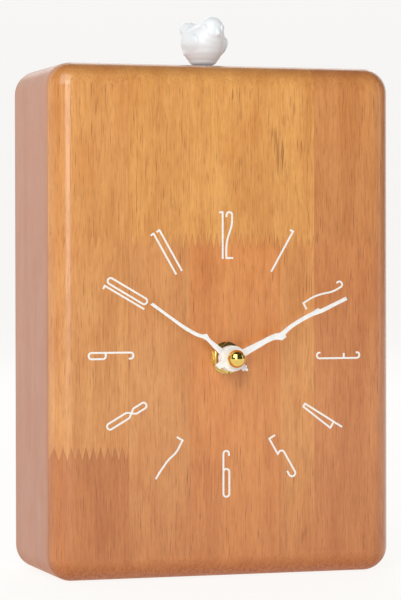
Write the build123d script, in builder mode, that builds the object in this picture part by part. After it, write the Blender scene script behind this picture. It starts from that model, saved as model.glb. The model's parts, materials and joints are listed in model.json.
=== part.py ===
from build123d import *
from math import cos, degrees, pi, radians, sin
import os

# Mantel clock: a rounded wooden box with a dial printed on its front, two hands on a
# quartz movement, and a small bird on top that presses down to play a song.
# Millimetres. +Z is up, the dial faces -Y, and the origin is the middle of the base.

# ---- case --------------------------------------------------------------------------
CASE_W = 140.0
CASE_H = 200.0
CASE_D = 58.6
BOARD_T = 12.0            # thickness of the four frame boards
PANEL_T = 7.2             # thickness of the front panel, glued flush onto the frame
CORNER_R = 9.8            # outer corner radius, seen from the front
CASE_ROUND = 9.6          # round-over all round the front, cut after gluing
BACK_T = 4.0
BACK_GAP = 0.3            # gap round the back panel in its rebate
REBATE_W = 5.0
FRONT_Y = -CASE_D / 2
REAR_Y = CASE_D / 2
BACK_INNER_Y = REAR_Y - BACK_T
CAVITY_W = CASE_W - 2 * BOARD_T
CAVITY_H = CASE_H - 2 * BOARD_T

# ---- dial --------------------------------------------------------------------------
NUMERAL_RING_Z = 87.0     # centre of the ring of numerals
DIAL_Z = 85.7             # the hands' axis, a little lower than the ring
NUMERAL_FOOT_R = 37.2     # inner end of the numerals
NUMERAL_LEN = 18.6
INK_W = 0.74
INK_T = 0.1
HOUR_HAND_ANGLE = 304.0   # clockwise from 12, at rest
MINUTE_HAND_ANGLE = 63.5

# ---- movement, as depths behind the dial face (negative is in front of it) -----------
RECESS_FLOOR = 4.5        # floor of the pocket behind the dial
RECESS_SIDE = 61.0
MOVEMENT_SIDE = 56.0
MOVEMENT_FRONT = RECESS_FLOOR + 0.8
MOVEMENT_REAR = MOVEMENT_FRONT + 16.0
MOVEMENT_WALL = 1.5
CHAMBER_FRONT = MOVEMENT_FRONT + MOVEMENT_WALL
CHAMBER_REAR = MOVEMENT_REAR - MOVEMENT_WALL
BUSH_R = 4.0
PIPE_R = 2.75
ARBOR_R = 1.75
SPIGOT_R = 1.4
RUN = 0.05                # radial running clearance of every turning fit
HOUR_BOSS = (-7.0, -4.9)  # front and rear depth
MINUTE_BOSS = (-9.5, -7.7)
HAND_T = 0.8
BOSS_R = 5.0
CAP_R = 3.5
CAP_CENTRE = -12.9

# Gear train: the setting arbor, third, intermediate and rotor arbors, as (x, z) from
# the dial axis.  Modules are in millimetres.
MOTION_DISTANCE = 10.8
GOING_DISTANCE = 9.0
ROTOR_DISTANCE = 7.0
SETTING_AT = (MOTION_DISTANCE * cos(radians(135)), MOTION_DISTANCE * sin(radians(135)))
THIRD_AT = (GOING_DISTANCE, 0.0)
INTER_AT = (GOING_DISTANCE * cos(radians(75)), GOING_DISTANCE * sin(radians(75)))
ROTOR_AT = (
    INTER_AT[0] + ROTOR_DISTANCE * cos(radians(60)),
    INTER_AT[1] + ROTOR_DISTANCE * sin(radians(60)),
)
MODULE_MINUTE = MOTION_DISTANCE / 24     # 12 and 36 teeth
MODULE_HOUR = MOTION_DISTANCE / 25       # 10 and 40 teeth
MODULE_CENTRE = GOING_DISTANCE / 34      # 8 and 60 teeth
MODULE_THIRD = GOING_DISTANCE / 36       # 8 and 64 teeth
MODULE_SECONDS = GOING_DISTANCE / 36     # 12 and 60 teeth
MODULE_INTER = ROTOR_DISTANCE / 35       # 10 and 60 teeth
PIVOT_R = 0.4
STAFF_R = 0.5

# ---- bird button -------------------------------------------------------------------
BUTTON_TRAVEL = 0.8
BUSHING_R = 6.2
PLUNGER_R = 4.95
ROD_R = 2.0
BIRD_BASE_Z = CASE_H + BUTTON_TRAVEL + 0.4
ROD_END_Z = 180.0
SPRING_SEAT_Z = 190.0
PLUNGER_BASE_Z = 197.2
BODY_TURN = 22.0          # the bird's body faces forward and this much to the right
HEAD_TURN = -2.0          # and its head looks almost straight ahead

# ---- sound unit on the inside of the back panel ------------------------------------
BATTERY_R = 7.1
BATTERY_L = 49.5
BOX_Z = 150.0
BOX_W = 64.0
BOX_H = 36.0
BOX_D = 17.0
SPEAKER_Z = 34.0
SPEAKER_R = 20.0
DOOR_HOLE_W = BOX_W - 4
DOOR_HOLE_H = BOX_H - 4
SWITCH_X = 40.0
SLIDE = 3.0               # travel of the sound switch
KNOB_W = 3.4
KNOB_H = 2.6
WINDOW = 64.0             # opening in the back panel behind the movement

os.makedirs("parts", exist_ok=True)


def finish(node, label):
    """Name a finished piece and write it to its own file."""
    node.part.label = label
    export_step(node.part, f"parts/{label}.step")


def face_plane(y, z=CASE_H / 2, x=0.0, turn=0.0):
    """Plane parallel to the dial whose normal faces the viewer.

    It is centred on (x, z), and turn turns it clockwise, in degrees.
    """
    across = (cos(radians(turn)), 0, -sin(radians(turn)))
    return Plane(origin=(x, y, z), x_dir=across, z_dir=(0, -1, 0))


def dial_plane(depth, at=(0, 0), turn=0.0):
    """The same, at a depth behind the dial's face and a place seen from the hands' axis."""
    return face_plane(FRONT_Y + depth, DIAL_Z + at[1], at[0], turn)


def disc(radius, front, rear, at=(0, 0), mode=Mode.ADD):
    """Cylinder about an axis through the dial, between two depths."""
    with BuildSketch(dial_plane(rear, at), mode=Mode.PRIVATE) as outline:
        Circle(radius)
    extrude(outline.sketch, amount=rear - front, mode=mode)


def plate(width, height, front, rear, at=(0, 0), corner=0.0, mode=Mode.ADD):
    """Flat block parallel to the dial, between two depths behind its face."""
    with BuildSketch(dial_plane(rear, at), mode=Mode.PRIVATE) as outline:
        if corner:
            RectangleRounded(width, height, corner)
        else:
            Rectangle(width, height)
    extrude(outline.sketch, amount=rear - front, mode=mode)


def block(x, y, z, mode=Mode.ADD):
    """Box given by its low and high x, y and z."""
    with Locations(((x[0] + x[1]) / 2, (y[0] + y[1]) / 2, (z[0] + z[1]) / 2)):
        Box(x[1] - x[0], y[1] - y[0], z[1] - z[0], mode=mode)


def around(middle, half):
    """Low and high value of a span about its middle."""
    return (middle - half, middle + half)


def gear(teeth, module, front, rear, at=(0, 0), turn=0.0):
    """Spur gear with slim straight-flanked teeth, as a moulded clock wheel has.

    turn is the angle of one tooth's centre line, in tooth pitches from the +X direction.
    """
    pitch_r = teeth * module / 2
    pitch = 2 * pi / teeth
    flank = ((pitch_r - 1.15 * module, 0.31), (pitch_r, 0.205), (pitch_r + 0.85 * module, 0.075))
    points = []
    for tooth in range(teeth):
        middle = (tooth + turn) * pitch
        for radius, half in flank:
            points.append((radius * cos(middle - half * pitch), radius * sin(middle - half * pitch)))
        for radius, half in reversed(flank):
            points.append((radius * cos(middle + half * pitch), radius * sin(middle + half * pitch)))
    with BuildSketch(dial_plane(rear, at), mode=Mode.PRIVATE) as outline:
        with BuildLine():
            Polyline(*points, close=True)
        make_face()
    extrude(outline.sketch, amount=rear - front)


def mesh_turn(teeth, other_teeth, direction):
    """Turn, in pitches, that puts a gap of this gear where the other gear has a tooth.

    The other gear has a tooth centred on +X and this gear lies from it in the given
    direction, in degrees.
    """
    other_phase = (direction / 360 * other_teeth) % 1.0
    return (direction + 180) / 360 * teeth + 0.5 + other_phase


def rod(start, length, radius, y, z, mode=Mode.ADD):
    """Cylinder along X from x = start."""
    with BuildSketch(Plane.YZ.offset(start), mode=Mode.PRIVATE) as section:
        with Locations((y, z)):
            Circle(radius)
    extrude(section.sketch, amount=length, mode=mode)


# ====================================================================================
# Case
# ====================================================================================

def egg(lean, long_r, cross_r):
    """Ellipsoid turned about the x axis of a plane."""
    with BuildSketch(lean, mode=Mode.PRIVATE) as half:
        Ellipse(long_r, cross_r)
        with Locations((0, -cross_r)):
            Rectangle(2 * long_r, 2 * cross_r, mode=Mode.SUBTRACT)
    revolve(half.sketch, axis=Axis(lean.origin, lean.x_dir))


def rounded_case():
    """Add the whole glued-up case as one block, rounded over all round its front."""
    with BuildSketch(face_plane(REAR_Y), mode=Mode.PRIVATE) as outline:
        RectangleRounded(CASE_W, CASE_H, CORNER_R)
    extrude(outline.sketch, amount=CASE_D)
    fillet(faces().sort_by(Axis.Y)[0].edges(), CASE_ROUND)


GLUE_LINE = face_plane(FRONT_Y + PANEL_T)      # the front panel lies before it, the frame behind

with BuildPart() as front_panel:
    rounded_case()
    split(bisect_by=GLUE_LINE, keep=Keep.TOP)
    plate(RECESS_SIDE, RECESS_SIDE, RECESS_FLOOR, PANEL_T, corner=3.0, mode=Mode.SUBTRACT)
    disc(BUSH_R + 0.15, 0, RECESS_FLOOR, mode=Mode.SUBTRACT)
finish(front_panel, "front_panel")

HALF_W = CASE_W / 2
HALF_H = CASE_H / 2
MITRE_TOP = (0, HALF_H - HALF_W)
MITRE_BOTTOM = (0, HALF_W - HALF_H)
# Each board is the part of the rounded ring inside its own mitre wedge.
WEDGES = {
    "left_side_board": ((-HALF_W, -HALF_H), (-HALF_W, HALF_H), MITRE_TOP, MITRE_BOTTOM),
    "right_side_board": ((HALF_W, -HALF_H), (HALF_W, HALF_H), MITRE_TOP, MITRE_BOTTOM),
    "top_board": ((-HALF_W, HALF_H), (HALF_W, HALF_H), MITRE_TOP),
    "bottom_board": ((-HALF_W, -HALF_H), (HALF_W, -HALF_H), MITRE_BOTTOM),
}


def frame_board(label):
    """One mitred board of the frame, rebated at the rear for the back panel."""
    with BuildPart() as board:
        rounded_case()
        split(bisect_by=GLUE_LINE, keep=Keep.BOTTOM)
        with BuildSketch(face_plane(REAR_Y)):
            with BuildLine():
                Polyline(*WEDGES[label], close=True)
            make_face()
            Rectangle(CAVITY_W, CAVITY_H, mode=Mode.SUBTRACT)
        extrude(amount=CASE_D, mode=Mode.INTERSECT)
        with BuildSketch(face_plane(REAR_Y)):
            Rectangle(CAVITY_W + 2 * REBATE_W, CAVITY_H + 2 * REBATE_W)
        extrude(amount=BACK_T, mode=Mode.SUBTRACT)
        if label == "top_board":
            with Locations((0, 0, CASE_H)):
                Hole(BUSHING_R, depth=BOARD_T)
    finish(board, label)


for board_name in WEDGES:
    frame_board(board_name)

BACK_W = CAVITY_W + 2 * (REBATE_W - BACK_GAP)
BACK_H = CAVITY_H + 2 * (REBATE_W - BACK_GAP)
SCREW_X = BACK_W / 2 - 3.5
SCREW_Z = BACK_H / 2 - 12.0
SCREW_R = 1.3
HEAD_R = 2.7
HEAD_T = 1.8
GRILLE_R = 1.3
GRILLE_RINGS = ((5.5, 6), (11.0, 12))          # radius and number of holes


def screw_places(y, radius, depth, mode=Mode.ADD):
    """A disc at each of the four screws, from y towards the front."""
    with BuildSketch(face_plane(y), mode=Mode.PRIVATE) as places:
        with GridLocations(2 * SCREW_X, 2 * SCREW_Z, 2, 2):
            Circle(radius)
    extrude(places.sketch, amount=depth, mode=mode)


with BuildPart() as back_panel:
    with BuildSketch(face_plane(REAR_Y)):
        RectangleRounded(BACK_W, BACK_H, 2.0)
        with Locations((0, DIAL_Z - HALF_H)):
            RectangleRounded(WINDOW, WINDOW, 6.0, mode=Mode.SUBTRACT)
        with Locations((0, BOX_Z - HALF_H)):
            RectangleRounded(DOOR_HOLE_W, DOOR_HOLE_H, 2.0, mode=Mode.SUBTRACT)
        with Locations((0, SPEAKER_Z - HALF_H)):
            Circle(GRILLE_R, mode=Mode.SUBTRACT)
            for ring_r, holes in GRILLE_RINGS:
                with PolarLocations(ring_r, holes):
                    Circle(GRILLE_R, mode=Mode.SUBTRACT)
        with Locations((SWITCH_X, SPEAKER_Z - HALF_H)):
            Rectangle(KNOB_W + SLIDE + 0.6, KNOB_H + 0.6, mode=Mode.SUBTRACT)
    extrude(amount=BACK_T)
    screw_places(REAR_Y, SCREW_R + 0.2, BACK_T, Mode.SUBTRACT)
    screw_places(REAR_Y, HEAD_R + 0.1, HEAD_T, Mode.SUBTRACT)
finish(back_panel, "back_panel")

with BuildPart() as back_panel_screws:
    screw_places(REAR_Y, HEAD_R, HEAD_T)
    screw_places(REAR_Y - HEAD_T, SCREW_R, BACK_T - HEAD_T)
    with BuildSketch(face_plane(REAR_Y)):
        with GridLocations(2 * SCREW_X, 2 * SCREW_Z, 2, 2):
            Rectangle(3.4, 0.7)
            Rectangle(0.7, 3.4)
    extrude(amount=1.0, mode=Mode.SUBTRACT)
finish(back_panel_screws, "back_panel_screws")

# ====================================================================================
# Hour numerals: thin raised ink strokes, tall and narrow
# ====================================================================================
# A glyph is drawn upright, x across and y from its foot to its top.
TOP = NUMERAL_LEN - INK_W / 2
FOOT = INK_W / 2
G = 1.2                   # half width of a glyph's centre line
END_R = 1.18              # a full round end
PAIR_PITCH = 2.7          # distance between the two glyphs of 10, 11 and 12
THREE_WAIST = 0.64 * TOP
FOUR_BAR = TOP - 14.1
EIGHT_WAIST = 11.4
EIGHT_TAPER = 1.6
# How far a hand-placed numeral stands right of and above its place on the ring.
NUDGE = {3: (0.75, 0.0), 4: (-1.7, -0.45), 10: (0.2, 0.5), 11: (-0.6, 0.0)}


def bent(*points, radii=0.0, closed=False):
    """A pen stroke of straight runs, with one radius for all its bends or one for each."""
    return ("bent", points, radii, closed)


def curved(*points):
    """A smooth pen stroke that starts and ends straight down the glyph."""
    return ("curved", points, 0.0, False)


GLYPHS = {
    "0": [bent((-G, FOOT), (G, FOOT), (G, TOP), (-G, TOP), radii=END_R, closed=True)],
    "1": [bent((-1.4, TOP - 0.15), (0, TOP), (0, 0))],
    "2": [
        bent((-1.1, TOP - 1.9), (-1.1, TOP), (G, TOP), (G, TOP - 2.0), radii=1.1),
        curved((G, TOP - 2.0), (0.85, TOP - 5.6), (-0.3, TOP - 9.0), (-1.1, TOP - 12.5), (-G, FOOT)),
        bent((-G - INK_W / 2, FOOT), (1.6, FOOT)),
    ],
    "3": [
        bent((-1.0, TOP - 1.5), (-1.0, TOP), (G, TOP), (G, THREE_WAIST), (-0.8, THREE_WAIST),
             radii=(1.0, 1.15, 0.35)),
        bent((-0.8, THREE_WAIST), (G, THREE_WAIST), (G, FOOT), (-1.0, FOOT), (-1.0, FOOT + 1.5),
             radii=(0.35, 1.15, 1.0)),
    ],
    "4": [bent((0.5, 0), (0.95, TOP), (-0.4, TOP), (-2.2, FOUR_BAR), (0.6, FOUR_BAR))],
    "5": [
        bent((1.5, TOP), (-1.25, TOP), (-1.25, TOP - 7.1), (-0.2, TOP - 6.5), (1.4, TOP - 6.5),
             (1.4, FOOT), (-1.25, FOOT), (-1.25, FOOT + 3.1), radii=(0, 0, 0.5, 1.2, 1.3, 1.3)),
    ],
    "6": [
        bent((1.1, TOP - 2.0), (1.1, TOP), (-G, TOP), (-G, FOOT), (G, FOOT), (G, FOOT + 10.8),
             (0.1 - G, FOOT + 10.8), (0.1 - G, FOOT + 10.0), radii=(1.05, 1.15, END_R, END_R, 1.15, 0.75)),
    ],
    "7": [
        bent((-1.6, TOP), (1.1 + INK_W / 2, TOP)),
        curved((1.1, TOP), (0.95, TOP - 6.0), (-0.15, TOP - 9.3), (-0.55, TOP - 12.2), (-0.95, 0)),
    ],
    "8": [
        bent((-G, FOOT), (G, FOOT), (G, EIGHT_WAIST - EIGHT_TAPER), (0, EIGHT_WAIST),
             (-G, EIGHT_WAIST - EIGHT_TAPER), radii=(END_R, END_R, 1.5, 0, 1.5), closed=True),
        bent((0, EIGHT_WAIST), (G, EIGHT_WAIST + EIGHT_TAPER), (G, TOP), (-G, TOP),
             (-G, EIGHT_WAIST + EIGHT_TAPER), radii=(0, 1.5, END_R, END_R, 1.5), closed=True),
    ],
    "9": [
        bent((-1.1, FOOT + 1.9), (-1.1, FOOT), (G, FOOT), (G, TOP), (-G, TOP), (-G, TOP - 6.8),
             (G - 0.1, TOP - 6.8), (G - 0.1, TOP - 6.0), radii=(1.05, 1.15, END_R, END_R, 1.15, 0.75)),
    ],
}


def draw_stroke(kind, points, radii, closed):
    """Add one pen stroke to the sketch, round at its bends and square at its ends."""
    with BuildLine(mode=Mode.PRIVATE) as pen:
        if kind == "curved":
            Spline(*points, tangents=((0, -1), (0, -1)))
        elif radii:
            FilletPolyline(*points, radius=radii, close=closed)
        else:
            Polyline(*points, close=closed)
    free_ends = [] if closed else [Vector(*points[0]), Vector(*points[-1])]
    for edge in pen.edges():
        trace(edge, line_width=INK_W)
        for spot in (edge @ 0, edge @ 1):
            if all((spot - end).length > 0.01 for end in free_ends):
                with Locations(spot):
                    Circle(INK_W / 2)


def glyph_plane(hour, shift):
    """Plane of one glyph of an hour numeral, with its origin at the glyph's foot.

    The numerals 4 to 8 stand upright, so their tops face inward.
    """
    upright = hour in (4, 5, 6, 7, 8)
    bearing = radians(30.0 * hour)
    foot_r = NUMERAL_FOOT_R + NUMERAL_LEN if upright else NUMERAL_FOOT_R
    turn = radians(30.0 * hour + (180.0 if upright else 0.0))
    right, up = NUDGE.get(hour, (0.0, 0.0))
    right += shift
    x = foot_r * sin(bearing) + right * cos(turn) + up * sin(turn)
    z = foot_r * cos(bearing) - right * sin(turn) + up * cos(turn)
    return face_plane(FRONT_Y, NUMERAL_RING_Z + z, x, degrees(turn))


with BuildPart() as hour_numerals:
    for numeral in range(1, 13):
        digits = str(numeral)
        for place, digit in enumerate(digits):
            shift = (place - (len(digits) - 1) / 2) * PAIR_PITCH
            with BuildSketch(glyph_plane(numeral, shift), mode=Mode.PRIVATE) as ink:
                for stroke in GLYPHS[digit]:
                    draw_stroke(*stroke)
            extrude(ink.sketch, amount=INK_T)
finish(hour_numerals, "hour_numerals")

# ====================================================================================
# Quartz movement behind the dial
# ====================================================================================

MID_PLATE = (MOVEMENT_FRONT + 4.9, MOVEMENT_FRONT + 5.9)
HOUR_WHEEL = (CHAMBER_FRONT + 0.4, CHAMBER_FRONT + 1.4)
MINUTE_WHEEL = (CHAMBER_FRONT + 1.9, CHAMBER_FRONT + 2.9)
CENTRE_WHEEL = (MID_PLATE[1] + 0.5, MID_PLATE[1] + 1.3)
THIRD_WHEEL = (CENTRE_WHEEL[1] + 0.6, CENTRE_WHEEL[1] + 1.3)
SECONDS_WHEEL = (THIRD_WHEEL[1] + 0.6, THIRD_WHEEL[1] + 1.3)
INTER_WHEEL = (SECONDS_WHEEL[1] + 0.6, SECONDS_WHEEL[1] + 1.3)
ARBOR_REAR = CENTRE_WHEEL[1] + 0.4
REAR_BOSS = INTER_WHEEL[1] + 0.6   # front of the pivot bosses inside the housing
STATOR = (MID_PLATE[1] + 0.8, MID_PLATE[1] + 1.6)
COIL_Z = 23.15                     # the coil, above the dial axis
COIL_Y = FRONT_Y + (STATOR[0] + STATOR[1]) / 2
COIL_START = -4.4
COIL_L = 20.8
CORE_R = 1.7
FLANGE_T = 0.8
PINION_OVER = 0.1                  # how far a pinion's teeth stand past its wheel

with BuildPart() as movement_front_plate:
    plate(MOVEMENT_SIDE, MOVEMENT_SIDE, MOVEMENT_FRONT, CHAMBER_FRONT, corner=3.0)
    disc(5.0, MOVEMENT_FRONT, CHAMBER_FRONT, mode=Mode.SUBTRACT)
    disc(PIVOT_R + RUN, CHAMBER_FRONT - 0.9, CHAMBER_FRONT, SETTING_AT, Mode.SUBTRACT)
finish(movement_front_plate, "movement_front_plate")

with BuildPart() as threaded_bushing:
    disc(BUSH_R, -4.2, MOVEMENT_FRONT)
    disc(5.0, MOVEMENT_FRONT, CHAMBER_FRONT)
    disc(PIPE_R + RUN, -4.2, CHAMBER_FRONT, mode=Mode.SUBTRACT)
    chamfer(threaded_bushing.faces().sort_by(Axis.Y)[0].outer_wire().edges(), 0.4)
finish(threaded_bushing, "threaded_bushing")

with BuildPart() as movement_housing:
    plate(MOVEMENT_SIDE, MOVEMENT_SIDE, CHAMBER_FRONT, MOVEMENT_REAR, corner=3.0)
    plate(MOVEMENT_SIDE - 3, 36.9, CHAMBER_FRONT, CHAMBER_REAR, (0, 8.05), 1.0, Mode.SUBTRACT)
    plate(MOVEMENT_SIDE - 3, 15.6, CHAMBER_FRONT, MOVEMENT_REAR, (0, -19.0), 0.5, Mode.SUBTRACT)
    for spot in (INTER_AT, ROTOR_AT, (0, 0), THIRD_AT):
        disc(1.4, REAR_BOSS, CHAMBER_REAR, spot)
        disc(PIVOT_R + RUN, REAR_BOSS, REAR_BOSS + 1.5, spot, Mode.SUBTRACT)
    disc(1.0 + RUN, CHAMBER_REAR, MOVEMENT_REAR, SETTING_AT, Mode.SUBTRACT)
    fillet(movement_housing.faces().sort_by(Axis.Y)[-1].outer_wire().edges(), 1.0)
finish(movement_housing, "movement_housing")

with BuildPart() as middle_plate:
    plate(MOVEMENT_SIDE - 3.2, 28.0, *MID_PLATE, at=(0, 4.6), corner=1.0)
    disc(ARBOR_R + RUN, *MID_PLATE, mode=Mode.SUBTRACT)
    disc(1.0 + RUN, *MID_PLATE, at=SETTING_AT, mode=Mode.SUBTRACT)
    for spot in (INTER_AT, ROTOR_AT, THIRD_AT):
        disc(PIVOT_R + RUN, *MID_PLATE, at=spot, mode=Mode.SUBTRACT)
finish(middle_plate, "middle_plate")

with BuildPart() as rubber_washer:
    disc(9.0, RECESS_FLOOR, MOVEMENT_FRONT)
    disc(BUSH_R, RECESS_FLOOR, MOVEMENT_FRONT, mode=Mode.SUBTRACT)
finish(rubber_washer, "rubber_washer")

with BuildPart() as brass_washer:
    disc(6.3, -0.6, 0)
    disc(BUSH_R, -0.6, 0, mode=Mode.SUBTRACT)
    chamfer(brass_washer.faces().sort_by(Axis.Y)[0].outer_wire().edges(), 0.15)
finish(brass_washer, "brass_washer")

with BuildPart() as hex_nut:
    with BuildSketch(dial_plane(-0.6)):
        RegularPolygon(5.5, 6, major_radius=False, rotation=30)
        Circle(BUSH_R, mode=Mode.SUBTRACT)
    extrude(amount=2.6)
finish(hex_nut, "hex_nut")

with BuildPart() as minute_arbor:
    disc(ARBOR_R, MINUTE_BOSS[1], ARBOR_REAR)
    disc(SPIGOT_R, CAP_CENTRE, MINUTE_BOSS[1])
    gear(12, MODULE_MINUTE, MINUTE_WHEEL[0] - PINION_OVER, MINUTE_WHEEL[1] + PINION_OVER)
    disc(PIVOT_R + RUN, ARBOR_REAR - 1.2, ARBOR_REAR, mode=Mode.SUBTRACT)
finish(minute_arbor, "minute_arbor")

with BuildPart() as hour_wheel:
    disc(PIPE_R, HOUR_BOSS[0], HOUR_WHEEL[1])
    gear(40, MODULE_HOUR, *HOUR_WHEEL)
    disc(ARBOR_R + RUN, HOUR_BOSS[0], HOUR_WHEEL[1], mode=Mode.SUBTRACT)
finish(hour_wheel, "hour_wheel")

KNOB = (MOVEMENT_REAR + 0.4, MOVEMENT_REAR + 4.4)
with BuildPart() as minute_wheel:
    gear(36, MODULE_MINUTE, *MINUTE_WHEEL, at=SETTING_AT, turn=mesh_turn(36, 12, 135))
    gear(10, MODULE_HOUR, HOUR_WHEEL[0] - PINION_OVER, MINUTE_WHEEL[0], at=SETTING_AT,
         turn=mesh_turn(10, 40, 135))
    disc(PIVOT_R, CHAMBER_FRONT - 0.8, HOUR_WHEEL[0], SETTING_AT)
    disc(1.0, MINUTE_WHEEL[1], KNOB[0] + 1.5, SETTING_AT)
finish(minute_wheel, "minute_wheel")

with BuildPart() as setting_knob:
    disc(5.0, *KNOB, at=SETTING_AT)
    with BuildSketch(dial_plane(KNOB[1], SETTING_AT), mode=Mode.PRIVATE) as flutes:
        with PolarLocations(5.0, 18):
            Circle(0.45)
    extrude(flutes.sketch, amount=KNOB[1] - KNOB[0] - 0.8, mode=Mode.SUBTRACT)
    disc(1.0, KNOB[0], KNOB[0] + 1.5, SETTING_AT, Mode.SUBTRACT)
finish(setting_knob, "setting_knob")

with BuildPart() as centre_wheel:
    gear(60, MODULE_CENTRE, *CENTRE_WHEEL)
    disc(ARBOR_R + RUN, *CENTRE_WHEEL, mode=Mode.SUBTRACT)
finish(centre_wheel, "centre_wheel")

with BuildPart() as friction_washer:
    disc(3.2, CENTRE_WHEEL[1] + 0.02, ARBOR_REAR)
    disc(ARBOR_R, CENTRE_WHEEL[1] + 0.02, ARBOR_REAR, mode=Mode.SUBTRACT)
finish(friction_washer, "friction_washer")


def train_wheel(label, at, wheel, pinion, front_pivot):
    """A moulded wheel with its pinion on one staff, pivoted at both ends.

    wheel and pinion are (teeth, module, front, rear, turn).
    """
    with BuildPart() as piece:
        disc(STAFF_R, front_pivot + 0.3, REAR_BOSS - 0.2, at)
        disc(PIVOT_R, front_pivot - 0.7, REAR_BOSS + 1.2, at)
        for teeth, module, front, rear, turn in (wheel, pinion):
            gear(teeth, module, front, rear, at, turn)
    finish(piece, label)


def past(wheel):
    """Front and rear depth of a pinion that stands a little past the wheel it drives."""
    return (wheel[0] - PINION_OVER, wheel[1] + PINION_OVER)


train_wheel(
    "third_wheel", THIRD_AT,
    (64, MODULE_THIRD, *THIRD_WHEEL, mesh_turn(64, 8, 0)),
    (8, MODULE_CENTRE, *past(CENTRE_WHEEL), mesh_turn(8, 60, 0)), MID_PLATE[1],
)
train_wheel(
    "seconds_wheel", (0, 0),
    (60, MODULE_SECONDS, *SECONDS_WHEEL, 0),
    (8, MODULE_THIRD, *past(THIRD_WHEEL), 0), ARBOR_REAR,
)
train_wheel(
    "intermediate_wheel", INTER_AT,
    (60, MODULE_INTER, *INTER_WHEEL, 0),
    (12, MODULE_SECONDS, *past(SECONDS_WHEEL), mesh_turn(12, 60, 75)), MID_PLATE[1],
)

MAGNET = (STATOR[0] - 0.3, STATOR[1] + 1.2)
with BuildPart() as rotor:
    disc(STAFF_R, MID_PLATE[1] + 0.3, REAR_BOSS - 0.2, ROTOR_AT)
    disc(PIVOT_R, MID_PLATE[1] - 0.7, REAR_BOSS + 1.2, ROTOR_AT)
    gear(10, MODULE_INTER, *past(INTER_WHEEL), at=ROTOR_AT, turn=mesh_turn(10, 60, 60))
finish(rotor, "rotor")

with BuildPart() as rotor_magnet:
    disc(3.0, *MAGNET, at=ROTOR_AT)
    disc(STAFF_R, *MAGNET, at=ROTOR_AT, mode=Mode.SUBTRACT)
finish(rotor_magnet, "rotor_magnet")

with BuildPart() as stator:
    plate(28.0, 13.8, *STATOR, at=(6.0, 17.4))
    plate(21.2, 3.0, *STATOR, at=(6.0, 20.5), mode=Mode.SUBTRACT)
    disc(3.4, *STATOR, at=ROTOR_AT, mode=Mode.SUBTRACT)
finish(stator, "stator")

with BuildPart() as coil_bobbin:
    rod(COIL_START, COIL_L, CORE_R, COIL_Y, DIAL_Z + COIL_Z)
    for flange_x in (COIL_START, COIL_START + COIL_L - FLANGE_T):
        with BuildSketch(Plane.YZ.offset(flange_x)):
            with Locations((COIL_Y, DIAL_Z + COIL_Z)):
                RectangleRounded(6.2, 6.2, 0.8)
        extrude(amount=FLANGE_T)
    with BuildSketch(Plane.YZ.offset(COIL_START)):
        with Locations((COIL_Y, DIAL_Z + COIL_Z)):
            Rectangle(0.9, 2.4)
    extrude(amount=COIL_L, mode=Mode.SUBTRACT)
finish(coil_bobbin, "coil_bobbin")

with BuildPart() as coil_winding:
    rod(COIL_START + FLANGE_T, COIL_L - 2 * FLANGE_T, 2.9, COIL_Y, DIAL_Z + COIL_Z)
    rod(COIL_START + FLANGE_T, COIL_L - 2 * FLANGE_T, CORE_R, COIL_Y, DIAL_Z + COIL_Z, Mode.SUBTRACT)
finish(coil_winding, "coil_winding")

BOARD_DEPTH = (CHAMBER_FRONT + 6.2, CHAMBER_FRONT + 7.0)
with BuildPart() as circuit_board:
    plate(11.0, 30.0, *BOARD_DEPTH, at=(-20.9, 8.0))
finish(circuit_board, "circuit_board")

with BuildPart() as clock_chip:
    disc(2.2, BOARD_DEPTH[1], BOARD_DEPTH[1] + 1.0, (-20.0, 6.0))
    fillet(clock_chip.faces().sort_by(Axis.Y)[-1].edges(), 0.8)
finish(clock_chip, "clock_chip")

with BuildPart() as quartz_crystal:
    with BuildSketch(Plane.XY.offset(DIAL_Z + 12.0)):
        with Locations((-20.0, FRONT_Y + BOARD_DEPTH[1] + 1.0)):
            Circle(1.0)
    extrude(amount=6.0)
finish(quartz_crystal, "quartz_crystal")


def battery(label, places):
    """AA cells lying along X, each a can with a small positive end."""
    with BuildPart() as cells:
        for x, y, z in places:
            rod(x - BATTERY_L / 2, BATTERY_L, BATTERY_R, y, z)
            rod(x + BATTERY_L / 2, NUB_L, NUB_R, y, z)
    finish(cells, label)


CELL_X = -0.2                      # the movement's cell
CELL_Y = FRONT_Y + CHAMBER_FRONT + 7.5
CELL_Z = DIAL_Z - 19.0
NUB_L = 1.0
NUB_R = 2.6
CONTACT_T = 0.3
BAY_END = 26.3                     # half length of the battery bay
battery("movement_battery", [(CELL_X, CELL_Y, CELL_Z)])

with BuildPart() as movement_contacts:
    plus_end = CELL_X + BATTERY_L / 2 + NUB_L
    minus_end = CELL_X - BATTERY_L / 2
    block((plus_end, plus_end + CONTACT_T), around(CELL_Y, 4), around(CELL_Z, 4))
    block((-BAY_END, CONTACT_T - BAY_END), around(CELL_Y, 4), around(CELL_Z, 4))
    block((CONTACT_T - BAY_END, minus_end), around(CELL_Y, 1.5), around(CELL_Z, 0.2))
finish(movement_contacts, "movement_contacts")

# ====================================================================================
# Hands
# ====================================================================================
# Each hand is drawn pointing up from the dial axis, as a bare twig with a side bud.

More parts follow.
